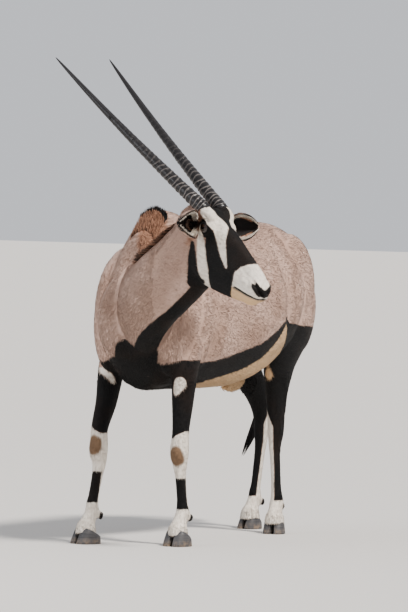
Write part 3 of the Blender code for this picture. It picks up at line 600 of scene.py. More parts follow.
# Strokes on the body: path, radius, height
BODY_FORMS = [
    (
        [(0.190, -0.290, 1.020), (0.212, -0.262, 0.900), (0.205, -0.245, 0.760), (0.180, -0.250, 0.660)],
        0.055,
        -0.0080,
    ),
    ([(0.165, -0.330, 1.030), (0.195, -0.345, 0.900), (0.190, -0.330, 0.780)], 0.050, 0.0050),
    ([(0.150, -0.470, 0.980), (0.175, -0.470, 0.860)], 0.045, 0.0040),
    ([(0.190, -0.300, 0.700), (0.165, -0.290, 0.640)], 0.040, 0.0060),
    ([(0.195, 0.245, 1.020), (0.220, 0.262, 0.900), (0.222, 0.262, 0.800)], 0.050, -0.0085),
    ([(0.190, 0.360, 0.980), (0.205, 0.380, 0.860), (0.180, 0.350, 0.720)], 0.060, 0.0045),
    ([(0.120, 0.600, 1.000), (0.140, 0.590, 0.860), (0.110, 0.580, 0.720)], 0.030, -0.0050),
    ([(0.110, 0.300, 1.140), (0.150, 0.340, 1.080)], 0.045, 0.0040),
    ([(0.210, -0.100, 0.620), (0.222, 0.100, 0.640), (0.190, 0.260, 0.660)], 0.050, -0.0030),
    ([(0.120, 0.380, 0.600), (0.125, 0.430, 0.520), (0.100, 0.450, 0.450)], 0.020, 0.0030),
]


def carve(mesh):
    """The folds, lips, nostrils, lids and muscles that the plain forms lack."""
    points = points_of(mesh)
    normals = normals_of(mesh)
    for path, radius, height in BODY_FORMS:
        for line in mirrored(path):
            points = stroke(points, normals, line, radius, height)
    turn = np.array(HEAD)[:3, :3] * (1, -1, 1)
    near = head_share(points) > 0.5
    face, out = on_head(points[near]), normals[near] @ turn
    for path, radius, height in FACE_FORMS:
        lines = mirrored(path) if max(abs(p[0]) for p in path) > 0 else [path]
        for line in lines:
            face = stroke(face, out, line, radius, height)
    points[near] = face @ turn.T + np.array(HEAD)[:3, 3]
    points = tendons(points, normals)
    set_points(mesh, points)


def tendons(points, normals):
    """The groove between cannon and tendon, and the cap of each knee and hock."""
    for name, leg in FEET.items():
        front = name.startswith("front")
        joint_z = KNEE_Z if front else HOCK_Z
        kx, ky = leg["joint"]
        x, y = ahead(leg, -CANNON_BACK)
        for out in (-1, 1):
            groove = [
                (kx + out * 0.020, ky + 0.006, joint_z - 0.10),
                (x + out * 0.020, y + 0.008, FETLOCK_Z + 0.035),
            ]
            points = stroke(points, normals, groove, 0.009, -0.0022)
            ridge = [(kx + out * 0.022, ky - 0.02, joint_z + rise) for rise in (0.03, -0.02)]
            points = stroke(points, normals, ridge, 0.014, 0.0016)
        if not front:
            heel = [(kx, ky + 0.040, HOCK_Z + 0.045), (kx, ky + 0.034, HOCK_Z - 0.02)]
            points = stroke(points, normals, heel, 0.016, 0.004)
    return points


def boolean(obj, others, operation):
    """Joins closed meshes to the object or takes them out, and removes them."""
    group = bpy.data.collections.new("others")
    for other in others:
        group.objects.link(other)
    change = obj.modifiers.new("Change", "BOOLEAN")
    change.operation = operation
    change.solver = "MANIFOLD"
    change.operand_type = "COLLECTION"
    change.collection = group
    apply(obj)
    for other in others:
        bpy.data.objects.remove(other)
    bpy.data.collections.remove(group)


def sphere(name, centre, radius):
    def build(bm):
        place = Matrix.Translation(centre)
        bmesh.ops.create_uvsphere(bm, u_segments=64, v_segments=40, radius=radius, matrix=place)

    return object_of(name, build)


def ear_frame(key):
    """The ear's root, its aim, its side and the way that it opens, on the head."""
    aim = EAR_AIM[key].normalized()
    opens = EAR_OPENS[key]
    opens = (opens - aim * opens.dot(aim)).normalized()
    return EAR_ROOT[key] - aim * 0.004, aim, aim.cross(opens), opens


def ear_sheet(key, u, v, thick):
    """Points of the cupped ear. u runs from root to tip, v across, and thick into the cup."""
    root, aim, side, opens = (np.array(part) for part in ear_frame(key))
    half = EAR_HALF + EAR_SWELL * np.sin(np.pi * np.minimum(u / 0.95, 1))
    half = half * np.sqrt(np.clip(1 - (np.maximum(u - 0.45, 0) / 0.556) ** 5.0, 0.0009, 1))
    wrap = EAR_CURL_ROOT + (EAR_CURL - EAR_CURL_ROOT) * np.minimum(u / 0.5, 1) ** 0.7
    radius = half / wrap
    thick = np.minimum(thick, 0.35 * radius)
    x = np.sin(wrap * v) * (radius - thick)
    bend = EAR_HALF / EAR_CURL_ROOT + EAR_SAG * u * u - EAR_LIFT * u**5
    y = radius - np.cos(wrap * v) * (radius - thick) - bend
    length = (EAR_LENGTH + EAR_SEAT + 0.003) * u
    local = root + aim * length[..., None] + side * x[..., None] + opens * y[..., None]
    matrix = np.array(HEAD)
    return local @ matrix[:3, :3].T + matrix[:3, 3]


def ear(key):
    """A closed ear mesh, and each point's u, v and layer."""
    u = 1 - (1 - np.linspace(0, 1, EAR_ROWS + 1)) ** 1.25
    v = np.linspace(-1, 1, EAR_COLUMNS + 1)
    grid_u, grid_v = np.meshgrid(u, v, indexing="ij")
    rim = 1 - 0.55 * np.maximum(np.abs(grid_v), grid_u) ** 6
    sheets = [ear_sheet(key, grid_u, grid_v, grid_u * 0 + thick) for thick in (0.0, EAR_THICK)]
    sheets[1] = sheets[0] + (sheets[1] - sheets[0]) * rim[..., None]
    cells = (EAR_ROWS + 1) * (EAR_COLUMNS + 1)
    index = np.arange(cells).reshape(EAR_ROWS + 1, EAR_COLUMNS + 1)
    faces = []
    for layer, start in enumerate((0, cells)):
        a, b = index[:-1, :-1] + start, index[:-1, 1:] + start
        c, d = index[1:, 1:] + start, index[1:, :-1] + start
        quads = np.stack([a, b, c, d], -1).reshape(-1, 4)
        faces.append(quads if layer else quads[:, ::-1])
    border = np.concatenate([index[0, :-1], index[:-1, -1], index[-1, :0:-1], index[:0:-1, 0]])
    after = np.roll(border, -1)
    faces.append(np.stack([border, after, after + cells, border + cells], -1))
    mesh = bpy.data.meshes.new("ear_" + key)
    points = np.concatenate([sheet.reshape(-1, 3) for sheet in sheets])
    mesh.from_pydata(points.tolist(), [], np.concatenate(faces).tolist())
    obj = new_object("ear_" + key, mesh)
    bm = bmesh.new()
    bm.from_mesh(mesh)
    bmesh.ops.recalc_face_normals(bm, faces=bm.faces)
    bm.to_mesh(mesh)
    bm.free()
    layer = np.repeat([0.0, 1.0], cells)
    facts = np.column_stack([np.tile(grid_u.ravel(), 2), np.tile(grid_v.ravel(), 2), layer])
    return obj, points, facts


def neck_line(height):
    """Points along the neck, a share of its half depth above the middle of each section."""
    rows = smooth_rows(NECK, 4)
    return [tuple(place + rise * row[4] * height) for row, place, _, rise in frames(rows, UP)]


def leg_frame(points, leg):
    """How far each point is ahead of the leg's line and to the outside of it."""
    forward, across = foot_axes(leg)
    kx, ky = leg["joint"]
    x, y = ahead(leg, -CANNON_BACK)
    low = np.clip((points[:, 2] - FETLOCK_Z) / (KNEE_Z - FETLOCK_Z), 0, 1)
    dx = points[:, 0] - (x + (kx - x) * low)
    dy = points[:, 1] - (y + (ky - y) * low)
    return dx * forward.x + dy * forward.y, (dx * across.x + dy * across.y) * leg["side"]


def near_leg(points, leg):
    """Where a point belongs to this leg below the trunk."""
    kx, ky = leg["joint"]
    x, y = leg["foot"]
    low = np.clip(points[:, 2] / 0.4, 0, 1)
    far = np.hypot(points[:, 0] - (x + (kx - x) * low), points[:, 1] - (y + (ky - y) * low))
    return (far < 0.115) & (points[:, 2] < 0.66)


def face_markings(points):
    """Black, white and brown of the head, and the chin's cream, which is painted light bounced up from
    below, as signed depths.
    """
    x, s, f = on_head(points).T
    wide = np.abs(x)
    local = np.column_stack([wide, s, f])
    cheek = capsule(
        local,
        [
            (0.074, 0.046, -0.044),
            (0.071, 0.066, -0.066),
            (0.064, 0.108, -0.110),
            (0.057, 0.155, -0.160),
            (0.034, 0.182, -0.206),
        ],
        [0.006, 0.011, 0.019, 0.022, 0.019],
    )
    patch = capsule(
        local,
        [
            (0.052, 0.034, 0.000),
            (0.044, 0.066, -0.004),
            (0.031, 0.102, -0.010),
            (0.041, 0.148, -0.040),
            (0.046, 0.188, -0.064),
            (0.048, 0.226, -0.084),
        ],
        [0.024, 0.031, 0.028, 0.016, 0.0125, 0.004],
    )
    edge = np.interp(
        f,
        [-0.20, -0.135, -0.096, -0.074, -0.045, -0.020, -0.006],
        [0.298, 0.290, 0.276, 0.264, 0.268, 0.284, 0.296],
    )
    muzzle = s - edge
    middle = np.interp(s, [0.03, 0.066, 0.10, 0.13], [0.0, 0.010, 0.003, -0.003])
    half = np.interp(
        s,
        [-0.06, -0.02, 0.030, 0.050, 0.066, 0.090, 0.130, 0.150, 0.172, 0.216, 0.25],
        [0.026, 0.036, 0.040, 0.033, 0.024, 0.011, 0.005, 0.012, 0.029, 0.039, 0.046],
    )
    crown = np.minimum(half - np.abs(x - middle), f + 0.045)
    crown = np.minimum(crown, s + 0.06)
    side = (s - 0.080) * 0.796 + (f + 0.047) * 0.607
    side = np.minimum(side, -patch)
    eye_ring = capsule(local, [(0.070, 0.054, -0.040), (0.068, 0.082, -0.048)], 0.021)
    patch = np.minimum(patch, -capsule(local, [(0.070, 0.056, -0.038), (0.068, 0.080, -0.044)], 0.015))
    black = np.maximum(np.maximum(side, crown), eye_ring)
    black = np.minimum(black, -muzzle)
    black = np.minimum(black, -cheek)
    strap = capsule(
        local,
        [(0.076, 0.064, -0.118), (0.070, 0.098, -0.162), (0.062, 0.128, -0.200), (0.040, 0.150, -0.240)],
        [0.012, 0.021, 0.025, 0.032],
    )
    nose = capsule(
        local,
        [
            (0.038, 0.347, -0.036),
            (0.038, 0.360, -0.043),
            (0.031, 0.374, -0.052),
            (0.017, 0.385, -0.060),
            (0.000, 0.390, -0.063),
        ],
        [0.0065, 0.0115, 0.0145, 0.0155, 0.0145],
    )
    below = np.interp(s, [row[1] for row in MOUTH], [row[2] for row in MOUTH]) - f
    lips = np.minimum(0.0034 - np.abs(below), s - 0.290)
    black = np.maximum(np.maximum(black, strap), np.maximum(nose, lips))
    white = np.maximum(np.maximum(cheek, patch), muzzle)
    # Painted light: the chin is tinted cream for light bounced up from below
    chin_bounce_light = np.minimum(np.minimum(below - 0.003, s - 0.285), 0.02)
    white = np.minimum(white, -chin_bounce_light)
    warm = capsule(
        local,
        [(0.060, 0.010, -0.010), (0.076, 0.040, -0.070), (0.078, 0.048, -0.125)],
        [0.022, 0.024, 0.014],
    )
    return black, white, chin_bounce_light, warm


# Height of the white knee, place of the upper spot, ends of the black band, middle of the tan oval
FRONT_MARKS = {
    "front_left": dict(
        knee=0.388,
        spot=[(0.158, -0.456, 0.572), (0.144, -0.464, 0.546)],
        band=(0.238, 0.130),
        oval=(0.004, -0.008),
    ),
    "front_right": dict(
        knee=0.408,
        spot=[(-0.146, -0.474, 0.632), (-0.120, -0.458, 0.575)],
        band=(0.254, 0.146),
        oval=(-0.010, 0.022),
    ),
}

# How far round to the inside each hind leg's black band runs, in degrees from its front
HIND_BAND = {"hind_left": 4, "hind_right": 46}


# The black band on the flank: height of its upper and lower edge by distance back
FLANK_TOP = [
    (-0.560, 0.575),
    (-0.470, 0.602),
    (-0.416, 0.635),
    (-0.204, 0.647),
    (-0.070, 0.677),
    (0.060, 0.708),
    (0.171, 0.756),
    (0.260, 0.806),
]
FLANK_LOW = [
    (-0.360, 0.500),
    (-0.190, 0.566),
    (-0.116, 0.583),
    (0.000, 0.610),
    (0.104, 0.652),
    (0.183, 0.712),
    (0.260, 0.800),
]

# Where the flank folds into the thigh, and the height of the stifle
FLANK_END = 0.262
STIFLE_Z = 0.74


def body_markings(points):
    """Black, white, cream, brown and tan of the neck, trunk and legs, as signed depths."""
    x, y, z = points.T
    wide = np.abs(x)
    top = np.interp(y, *zip(*FLANK_TOP))
    low = np.interp(y, *zip(*FLANK_LOW))
    flank = np.minimum(np.minimum(top - z, z - low), FLANK_END - y)
    under = neck_line(-1.0)
    throat = capsule(points, under, np.linspace(0.044, 0.054, len(under)))
    chest = capsule(
        points,
        [(0.02, -0.60, 0.690), (0.0, -0.565, 0.615), (0.0, -0.48, 0.560)],
        [0.042, 0.050, 0.060],
    )
    sides = capsule(np.column_stack([wide, y, z]), [(0.03, -0.56, 0.635), (0.13, -0.475, 0.598)], 0.038)
    chest = np.maximum(chest, sides)
    spine = np.minimum(0.010 + 0.050 * np.clip((y - 0.46) / 0.16, 0, 1) - wide, z - 0.90)
    spine = np.minimum(spine, y + 0.30)
    black = np.maximum(np.maximum(flank, spine), np.maximum(throat, chest))
    thigh_top = np.interp(y, [0.24, 0.28, 0.466, 0.60], [0.800, 0.776, 0.762, 0.755])
    thigh_front = y - FLANK_END - np.minimum(STIFLE_Z - z, 0.16) * 0.52
    cream = np.minimum(np.minimum(low - z + 0.004, y + 0.30), 0.004 - thigh_front)
    cream = np.where(z > STIFLE_Z, np.minimum(cream, FLANK_END - y), cream)
    rear = np.minimum(thigh_top - z, thigh_front)
    inner = 0.066 - wide + 0.10 * np.clip(z - 0.62, 0, 1)
    rear = np.minimum(rear, np.where(z > 0.60, -inner, rear))
    black = np.maximum(black, np.where(y > 0.1, rear, -1))
    cream = np.where((y > 0.2) & (z < 0.76), np.maximum(cream, np.minimum(0.76 - z, inner)), cream)
    white = np.full(len(points), -LIMIT)
    tan = np.full(len(points), -LIMIT)
    for name, leg in FEET.items():
        mine = near_leg(points, leg)
        forward, outward = leg_frame(points, leg)
        if name in FRONT_MARKS:
            facts = FRONT_MARKS[name]
            knee = facts["knee"] + 0.6 * np.clip(outward, -0.03, 0.03)
            elbow = 0.655 - 0.25 * np.clip(0.17 - wide, 0, 0.1)
            dark = np.minimum(z - knee, elbow - z)
            spot = capsule(points, facts["spot"], [0.024, 0.017])
            dark = np.minimum(dark, -spot)
            band_top, band_low = facts["band"]
            band = np.minimum(np.minimum(band_top - z, z - band_low), forward + 0.010)
            dark = np.maximum(dark, band)
            pale = np.maximum(spot, np.where(z < knee, 0.03, -0.03))
            across, rise = facts["oval"]
            oval = 1 - np.sqrt(((z - KNEE_Z - rise) / 0.036) ** 2 + ((outward - across) / 0.026) ** 2)
            oval = np.minimum(oval * 0.025, forward - 0.016)
            tan = np.where(mine, oval, tan)
            black = np.where(mine, np.minimum(black, -spot), black)
        else:
            inward = math.radians(HIND_BAND[name])
            strip = forward * math.sin(inward) + outward * math.cos(inward)
            strip = np.minimum(strip + 0.4 * np.clip(z - HOCK_Z, 0, 1), z - 0.122)
            dark = np.where(z > HOCK_Z + 0.08, rear, strip)
            pale = np.where(z > HOCK_Z + 0.08, -LIMIT, -strip)
        heel = capsule(points, dewclaw_line(leg), 0.017)
        dark = np.maximum(dark, heel)
        black = np.where(mine, np.maximum(np.where(z < 0.56, -1, black), dark), black)
        white = np.where(mine & (z < 0.62), pale, white)
        cream = np.where(mine & (z < 0.50), -LIMIT, cream)
    withers = capsule(
        points,
        [(0, -0.375, 1.180), (0.020, -0.425, 1.130), (0.040, -0.470, 1.060)],
        [0.040, 0.050, 0.050],
    )
    warm = np.maximum(capsule(points, neck_line(1.0)[4:], 0.034), withers)
    tail = capsule(points, [(0, 0.672, 1.035), (-0.014, 0.738, 0.880), TUFT_PATH[1]], [0.030, 0.035, 0.050])
    black = np.maximum(black, tail)
    return black, white, cream, warm, tan


def dewclaw_line(leg):
    """From one dewclaw to the other."""
    _, across = foot_axes(leg)
    place = Vector((*ahead(leg, -0.054), FETLOCK_Z - 0.016))
    return [tuple(place - across * 0.016), tuple(place + across * 0.016)]



def markings(points, ear_facts=None):
    """The marks at each point, as columns of signed depth in metres."""
    share = head_share(points)
    on_face = share > 0.5
    columns = np.column_stack(body_markings(points))
    face = np.column_stack([*face_markings(points[on_face]), np.full(on_face.sum(), -LIMIT)])
    rise = np.clip((share[on_face] - 0.5) * 2, 0, 1)[:, None]
    old = columns[on_face].copy()
    old[:, 1:3] = -LIMIT
    new = old * (1 - rise) + face * rise
    new[:, 0] = np.maximum(new[:, 0], np.minimum(old[:, 0], 0.17 - on_head(points[on_face])[:, 1]))
    columns[on_face] = new
    if ear_facts is not None:
        local = on_head(points)
        for key in EAR_ROOT:
            root, aim, _, opens = ear_frame(key)
            path = [root + opens * 0.016 + aim * 0.012, root + opens * 0.014 + aim * 0.050]
            cavity = capsule(local, [tuple(spot * Vector((1, -1, 1))) for spot in path], 0.019)
            columns[:, 0] = np.maximum(columns[:, 0], cavity)
        known = ear_facts[:, 2] >= 0
        u, v, layer = ear_facts[known].T
        rim = np.maximum(np.abs(v), u * 0.995)
        inner_dark = np.maximum(rim - 0.86, 0.55 - u * 0.30 - np.abs(v) * 0.75)
        pale = np.where(local[known, 0] > 0, 0.05, 0.13)
        columns[known, 0] = np.where(layer > 0.5, inner_dark, np.maximum(rim - 0.88, u - 0.84)) * 0.10
        columns[known, 1] = np.where(layer > 0.5, (pale - np.abs(np.abs(v) - 0.70)) * 0.1, -0.03)
        columns[known, 2] = -0.03
        # Painted shade: the inside of each ear cup is coloured brown
        columns[known, 3] = np.where(layer > 0.5, 0.02, 0.004 - 0.03 * u)
        columns[known, 4] = -0.03
    return np.clip(columns, -LIMIT, LIMIT)


def weights_of(points):
    """How far each point belongs to the head, the neck, the legs and the tail."""
    s = on_head(points)[:, 1]
    by_head = np.linalg.norm(points - np.array(POLL), axis=1) < 0.50
    head_part = np.clip((s + 0.06) / 0.05, 0, 1) * by_head * (points[:, 0] > 0.20)
    far, where = reach(points, [row[:3] for row in NECK])
    neck_part = np.clip((where - 1.2) / 1.6, 0, 1) * (far < 0.24) * (1 - head_part)
    on_leg = np.any([near_leg(points, leg) for leg in FEET.values()], axis=0)
    leg_part = np.clip((0.62 - points[:, 2]) / 0.10, 0, 1) * on_leg
    tail_part = np.clip((points[:, 1] - 0.69) / 0.03, 0, 1)
    return head_part, neck_part, leg_part, tail_part


NECK_RUN = np.array((-0.72, 0.28, -0.62))
FACE_RUN = np.array(HEAD)[:3, :3] @ np.array((0.0, 0.93, -0.36))


def lie_of(points, normals):
    """The way that the hair lies at each point."""
    head_part, neck_part, leg_part, tail_part = weights_of(points)
    lie = np.tile((0.0, 1.0, -0.42), (len(points), 1))
    chest = np.clip((-0.42 - points[:, 1]) / 0.12, 0, 1)[:, None]
    lie = lie * (1 - chest) + np.array((0.0, 0.15, -1.0)) * chest
    for part, run in (
        (neck_part, NECK_RUN),
        (head_part, FACE_RUN),
        (leg_part, np.array((0.0, 0.12, -1.0))),
        (tail_part, np.array((-0.05, 0.1, -1.0))),
    ):
        lie = lie * (1 - part[:, None]) + run * part[:, None]
    lie = lie - normals * np.sum(lie * normals, axis=1)[:, None]
    return lie / np.maximum(np.linalg.norm(lie, axis=1), 1e-6)[:, None]


def hair_place(points):
    """Coordinates drawn out along the lie of the hair, for noise that looks like hair."""
    head_part, neck_part, leg_part, _ = weights_of(points)
    squeeze = 0.20
    place = points * (1, squeeze, 1)
    for part, run, centre in (
        (neck_part, NECK_RUN / np.linalg.norm(NECK_RUN), np.array((0.10, -0.56, 0.85))),
        (head_part, FACE_RUN / np.linalg.norm(FACE_RUN), np.array((0.35, -0.69, 1.10))),
        (leg_part, np.array((0.0, 0.0, 1.0)), np.array((0.0, 0.0, 0.58))),
    ):
        local = points - centre
        along = (local @ run)[:, None] * run
        local = local - along * (1 - squeeze) + centre * (1, squeeze, 1)
        place = place * (1 - part[:, None]) + local * part[:, None]
    return place


def put_attribute(mesh, name, values, kind="FLOAT"):
    values = np.asarray(values, np.float32)
    attribute = mesh.attributes.new(name, kind, "POINT")
    attribute.data.foreach_set("vector" if kind == "FLOAT_VECTOR" else "value", values.ravel())


def put_marks(mesh, columns, place):
    for name, column in zip(MARKS, columns.T):
        put_attribute(mesh, name, column)
    put_attribute(mesh, "hair_place", place, "FLOAT_VECTOR")


def make_skin():
    """The one skin: fused forms, refined on the head, carved, drawn in, and joined to the ears."""
    skin = object_of("skin", body_pieces)
    fuse = skin.modifiers.new("Fuse", "REMESH")
    fuse.mode = "VOXEL"
    fuse.voxel_size = VOXEL
    apply(skin)
    relax(skin.data, 8)
    refine(skin.data, head_share(points_of(skin.data)) > 0.5)
    relax(skin.data, 3)
    local = on_head(points_of(skin.data))
    muzzle = np.all((local > (-0.08, 0.28, -0.20)) & (local < (0.08, 0.42, 0.05)), axis=1)
    local[:, 0] = np.abs(local[:, 0])
    eyes = np.linalg.norm(local - LIDS, axis=1) < 0.045
    refine(skin.data, muzzle | eyes)
    relax(skin.data, 2)
    carve(skin.data)
    relax(skin.data, 1)
    points = points_of(skin.data)
    feet = np.clip((points[:, 2] - 0.05) / 0.08, 0.3, 1)
    face = 1 - 0.6 * head_share(points)
    set_points(skin.data, points - normals_of(skin.data) * (COAT_DEPTH * feet * face)[:, None])
    middles = [HEAD @ (EYE * Vector((side, 1, 1))) for side in (-1, 1)]
    boolean(skin, [sphere("socket", middle, EYE_RADIUS + 0.0002) for middle in middles], "DIFFERENCE")
    pieces = [ear(key) for key in EAR_ROOT]
    tree = KDTree(sum(len(points) for _, points, _ in pieces))
    facts = []
    for _, points, rows in pieces:
        for point, row in zip(points, rows):
            tree.insert(point, len(facts))
            facts.append(row)
    tree.balance()
    boolean(skin, [obj for obj, _, _ in pieces], "UNION")
    points = points_of(skin.data)
    known = np.full((len(points), 3), -1.0)
    same = 0.0004
    for i in np.flatnonzero(on_head(points)[:, 1] < 0.2):
        _, index, far = tree.find(points[i])
        if far < same:
            known[i] = facts[index]
    put_marks(skin.data, markings(points, known), hair_place(points))
    skin.data.shade_smooth()
    return skin, known


def triangles_of(mesh):
    mesh.calc_loop_triangles()
    triangles = np.empty(len(mesh.loop_triangles) * 3, np.int32)
    mesh.loop_triangles.foreach_get("vertices", triangles)
    return triangles.reshape(-1, 3)


def scatter(points, normals, triangles, density, count, draw):
    """So many places on a mesh: their points, normals and the triangle's first corner."""
    corners = points[triangles]
    cross = np.cross(corners[:, 1] - corners[:, 0], corners[:, 2] - corners[:, 0])
    area = np.linalg.norm(cross, axis=1) / 2
    weight = area * density[triangles].mean(axis=1)
    chosen = draw.choice(len(triangles), count, p=weight / weight.sum())
    a, b = draw.random((2, count, 1))
    over = a + b > 1
    a, b = np.where(over, 1 - a, a), np.where(over, 1 - b, b)
    place = corners[chosen, 0] * (1 - a - b) + corners[chosen, 1] * a + corners[chosen, 2] * b
    out = normals[triangles[chosen]].sum(axis=1)
    out /= np.maximum(np.linalg.norm(out, axis=1), 1e-9)[:, None]
    return place, out, triangles[chosen, 0]


def unwrap(points):
    """An unwrap of the skin's own shape: each part round its own axis, in its own strip."""
    head_part, neck_part, leg_part, _ = weights_of(points)
    x, y, z = points.T
    u = np.arctan2(x, z - 0.85) / (2 * math.pi) + 0.5
    v = (y + 0.65) / 1.45
    place = np.column_stack([0.02 + 0.46 * u, 0.02 + 0.96 * np.clip(v, 0, 1)])
    line = np.array(NECK)[:, :3]
    _, where = reach(points, line)
    middle = np.column_stack([np.interp(where, np.arange(len(line)), line[:, i]) for i in range(3)])
    off = points - middle
    turn = np.arctan2(off @ np.array((-0.45, -0.89, 0.0)), off @ np.array((-0.5, 0.26, 0.83)))
    turn = turn / (2 * math.pi) + 0.5
    strip = np.column_stack([0.51 + 0.22 * turn, 0.02 + 0.45 * where / (len(NECK) - 1)])
    place = np.where((neck_part > 0.5)[:, None], strip, place)
    hx, s, f = on_head(points).T
    turn = np.arctan2(hx, f + 0.09) / (2 * math.pi) + 0.5
    strip = np.column_stack([0.51 + 0.47 * turn, 0.50 + 0.48 * np.clip((s + 0.12) / 0.55, 0, 1)])
    place = np.where((head_part > 0.5)[:, None], strip, place)
    for k, leg in enumerate(FEET.values()):
        mine = near_leg(points, leg) & (leg_part > 0.5)
        forward, outward = leg_frame(points, leg)
        turn = np.arctan2(outward, forward) / (2 * math.pi) + 0.5
        strip = np.column_stack([0.75 + 0.058 * (k + 0.95 * turn), 0.02 + 0.45 * np.clip(z / 0.66, 0, 1)])
        place = np.where(mine[:, None], strip, place)
    return place


def hair_mesh(name, paths, sides, widths, roots):
    """Many closed tapered strands in one mesh. Paths are strand, step, xyz; widths strand, step.
    The sides give each strand's flat direction. The last step of each path is its point, and the
    roots are the places that its patch of the unwrap comes from."""
    count, steps, _ = paths.shape
    run = np.gradient(paths, axis=1)
    run /= np.maximum(np.linalg.norm(run, axis=2), 1e-9)[..., None]
    across = sides[:, None, :] - run * np.sum(sides[:, None, :] * run, axis=2)[..., None]
    across /= np.maximum(np.linalg.norm(across, axis=2), 1e-9)[..., None]
    rise = np.cross(across, run)
    rings = steps - 1
    corner = np.array([(-0.5, -0.16), (0.5, -0.16), (0.0, 0.34)])
    ring = (
        paths[:, :rings, None, :]
        + across[:, :rings, None, :] * (widths[:, :rings, None] * corner[:, 0])[..., None]
        + rise[:, :rings, None, :] * (widths[:, :rings, None] * corner[:, 1])[..., None]
    )
    each = rings * 3 + 1
    points = np.concatenate([ring.reshape(count, -1, 3), paths[:, -1:, :]], axis=1)
    quads, tris = [], [(0, 1, 2)]
    for i in range(rings - 1):
        for k in range(3):
            a, b = i * 3 + k, i * 3 + (k + 1) % 3
            quads.append((b, a, a + 3, b + 3))
    for k in range(3):
        a, b = (rings - 1) * 3 + k, (rings - 1) * 3 + (k + 1) % 3
        tris.append((b, a, each - 1))
    start = (np.arange(count) * each)[:, None, None]
    loops, sizes = [], []
    if quads:
        loops.append((np.array(quads)[None] + start).reshape(-1))
        sizes.append(np.full(count * len(quads), 4))
    loops.append((np.array(tris)[None] + start).reshape(-1))
    sizes.append(np.full(count * len(tris), 3))
    loops, sizes = np.concatenate(loops), np.concatenate(sizes)
    mesh = bpy.data.meshes.new(name)
    mesh.vertices.add(count * each)
    mesh.vertices.foreach_set("co", points.ravel())
    mesh.loops.add(len(loops))
    mesh.loops.foreach_set("vertex_index", loops)
    mesh.polygons.add(len(sizes))
    mesh.polygons.foreach_set("loop_start", np.concatenate([[0], np.cumsum(sizes)[:-1]]))
    mesh.update(calc_edges=True)
    mesh.validate()
    centre = unwrap(roots)
    size = 0.003
    share = np.concatenate([np.repeat(np.arange(rings) / rings, 3), [1.0]]) - 0.5
    offset = np.concatenate([np.tile(corner[:, 0], rings), [0.0]])
    spots = centre[:, None, :] + size * np.column_stack([offset, share])[None]
    layer = mesh.uv_layers.new(name="OFBake")
    order = np.empty(len(mesh.loops), int)
    mesh.loops.foreach_get("vertex_index", order)
    layer.data.foreach_set("uv", spots.reshape(-1, 2)[order].ravel())
    put_attribute(mesh, "tip", np.tile(share + 0.5, count))
    mesh.shade_smooth()
    return new_object(name, mesh), each


def marks_on(obj, columns, place, each):
    put_marks(obj.data, np.repeat(columns, each, axis=0), np.repeat(place, each, axis=0))


def turned(vectors, axes, angles):
    """Vectors turned about unit axes."""
    c, s = np.cos(angles)[:, None], np.sin(angles)[:, None]
    along = np.sum(vectors * axes, axis=1)[:, None]
    return vectors * c + np.cross(axes, vectors) * s + axes * along * (1 - c)


def coat(name, skin, chosen, count, length, width, lift, seed):
    """Short tufts over the chosen points of the skin, lying along the coat."""
    points, normals, triangles, density = skin
    draw = np.random.default_rng(seed)
    place, out, first = scatter(points, normals, triangles, density * chosen, count, draw)
    lie = turned(lie_of(place, out), out, draw.normal(0, 0.13, count))
    long = length[first] * draw.uniform(0.75, 1.25, count)
    rise = np.tan(np.radians(lift[first]) * draw.uniform(0.6, 1.4, count))
    tips = place + lie * long[:, None] + out * (long * rise)[:, None]
    paths = np.stack([place - out * ROOT_DEPTH, tips], axis=1)
    widths = (width[first] * draw.uniform(0.8, 1.2, count))[:, None] * np.array((1.0, 0.0))
    sides = np.cross(out, lie)
    obj, each = hair_mesh(name, paths, sides, widths, place)
    marks_on(obj, markings(place), hair_place(place), each)
    return obj


def strands(name, roots, outs, lies, lengths, widths, steps, sag, curl, seed, columns):
    """Longer hair from given roots, drooping along its own lie."""
    draw = np.random.default_rng(seed)
    count = len(roots)
    t = np.linspace(0, 1, steps)
    swing = draw.normal(0, curl, (count, 1)) * np.sin(t * math.pi * 0.8)[None]
    sides = np.cross(outs, lies)
    droop = outs[:, None, :] * (t - sag * t**2)[None, :, None]
    run = lies[:, None, :] * t[None, :, None]
    paths = (
        roots[:, None, :]
        + (droop + run) * lengths[:, None, None]
        + sides[:, None, :] * (swing * lengths[:, None])[..., None]
        - outs[:, None, :] * 0.002
    )
    taper = np.clip(1.05 - t**2.2, 0.1, 1)
    obj, each = hair_mesh(name, paths, sides, widths[:, None] * taper[None], roots)
    marks_on(obj, columns, hair_place(roots), each)
    return obj


def unit(vectors):
    return vectors / np.maximum(np.linalg.norm(vectors, axis=-1), 1e-9)[..., None]


def crest_hair(tree, draw):
    """Root, way out, lie, length and blackness of each hair down the crest of the neck."""
    crest = list(frames(smooth_rows(NECK, 12), UP))
    last = len(crest) - 1
    for _ in range(2600):
        spot = int(draw.uniform(0.22, 0.97) * last)
        _, place, side, rise = crest[spot]
        run = crest[min(spot + 1, last)][1] - place
        if run.length < 1e-6:
            continue
        run.normalize()
        across = draw.normal(0, 0.011)
        start = place + side * across + run * draw.uniform(-0.01, 0.01) + rise * 0.5
        hit, normal, _, _ = tree.ray_cast(start, -rise)
        if hit is None:
            continue
        lie = (side * across * 14 - run * 0.55 + normal * 0.35).normalized()
        length = draw.uniform(0.020, 0.036) * (1 - 0.3 * abs(across) / 0.03)
        yield hit, normal, lie, length, 0.005 - 0.25 * abs(across) + draw.normal(0, 0.006)


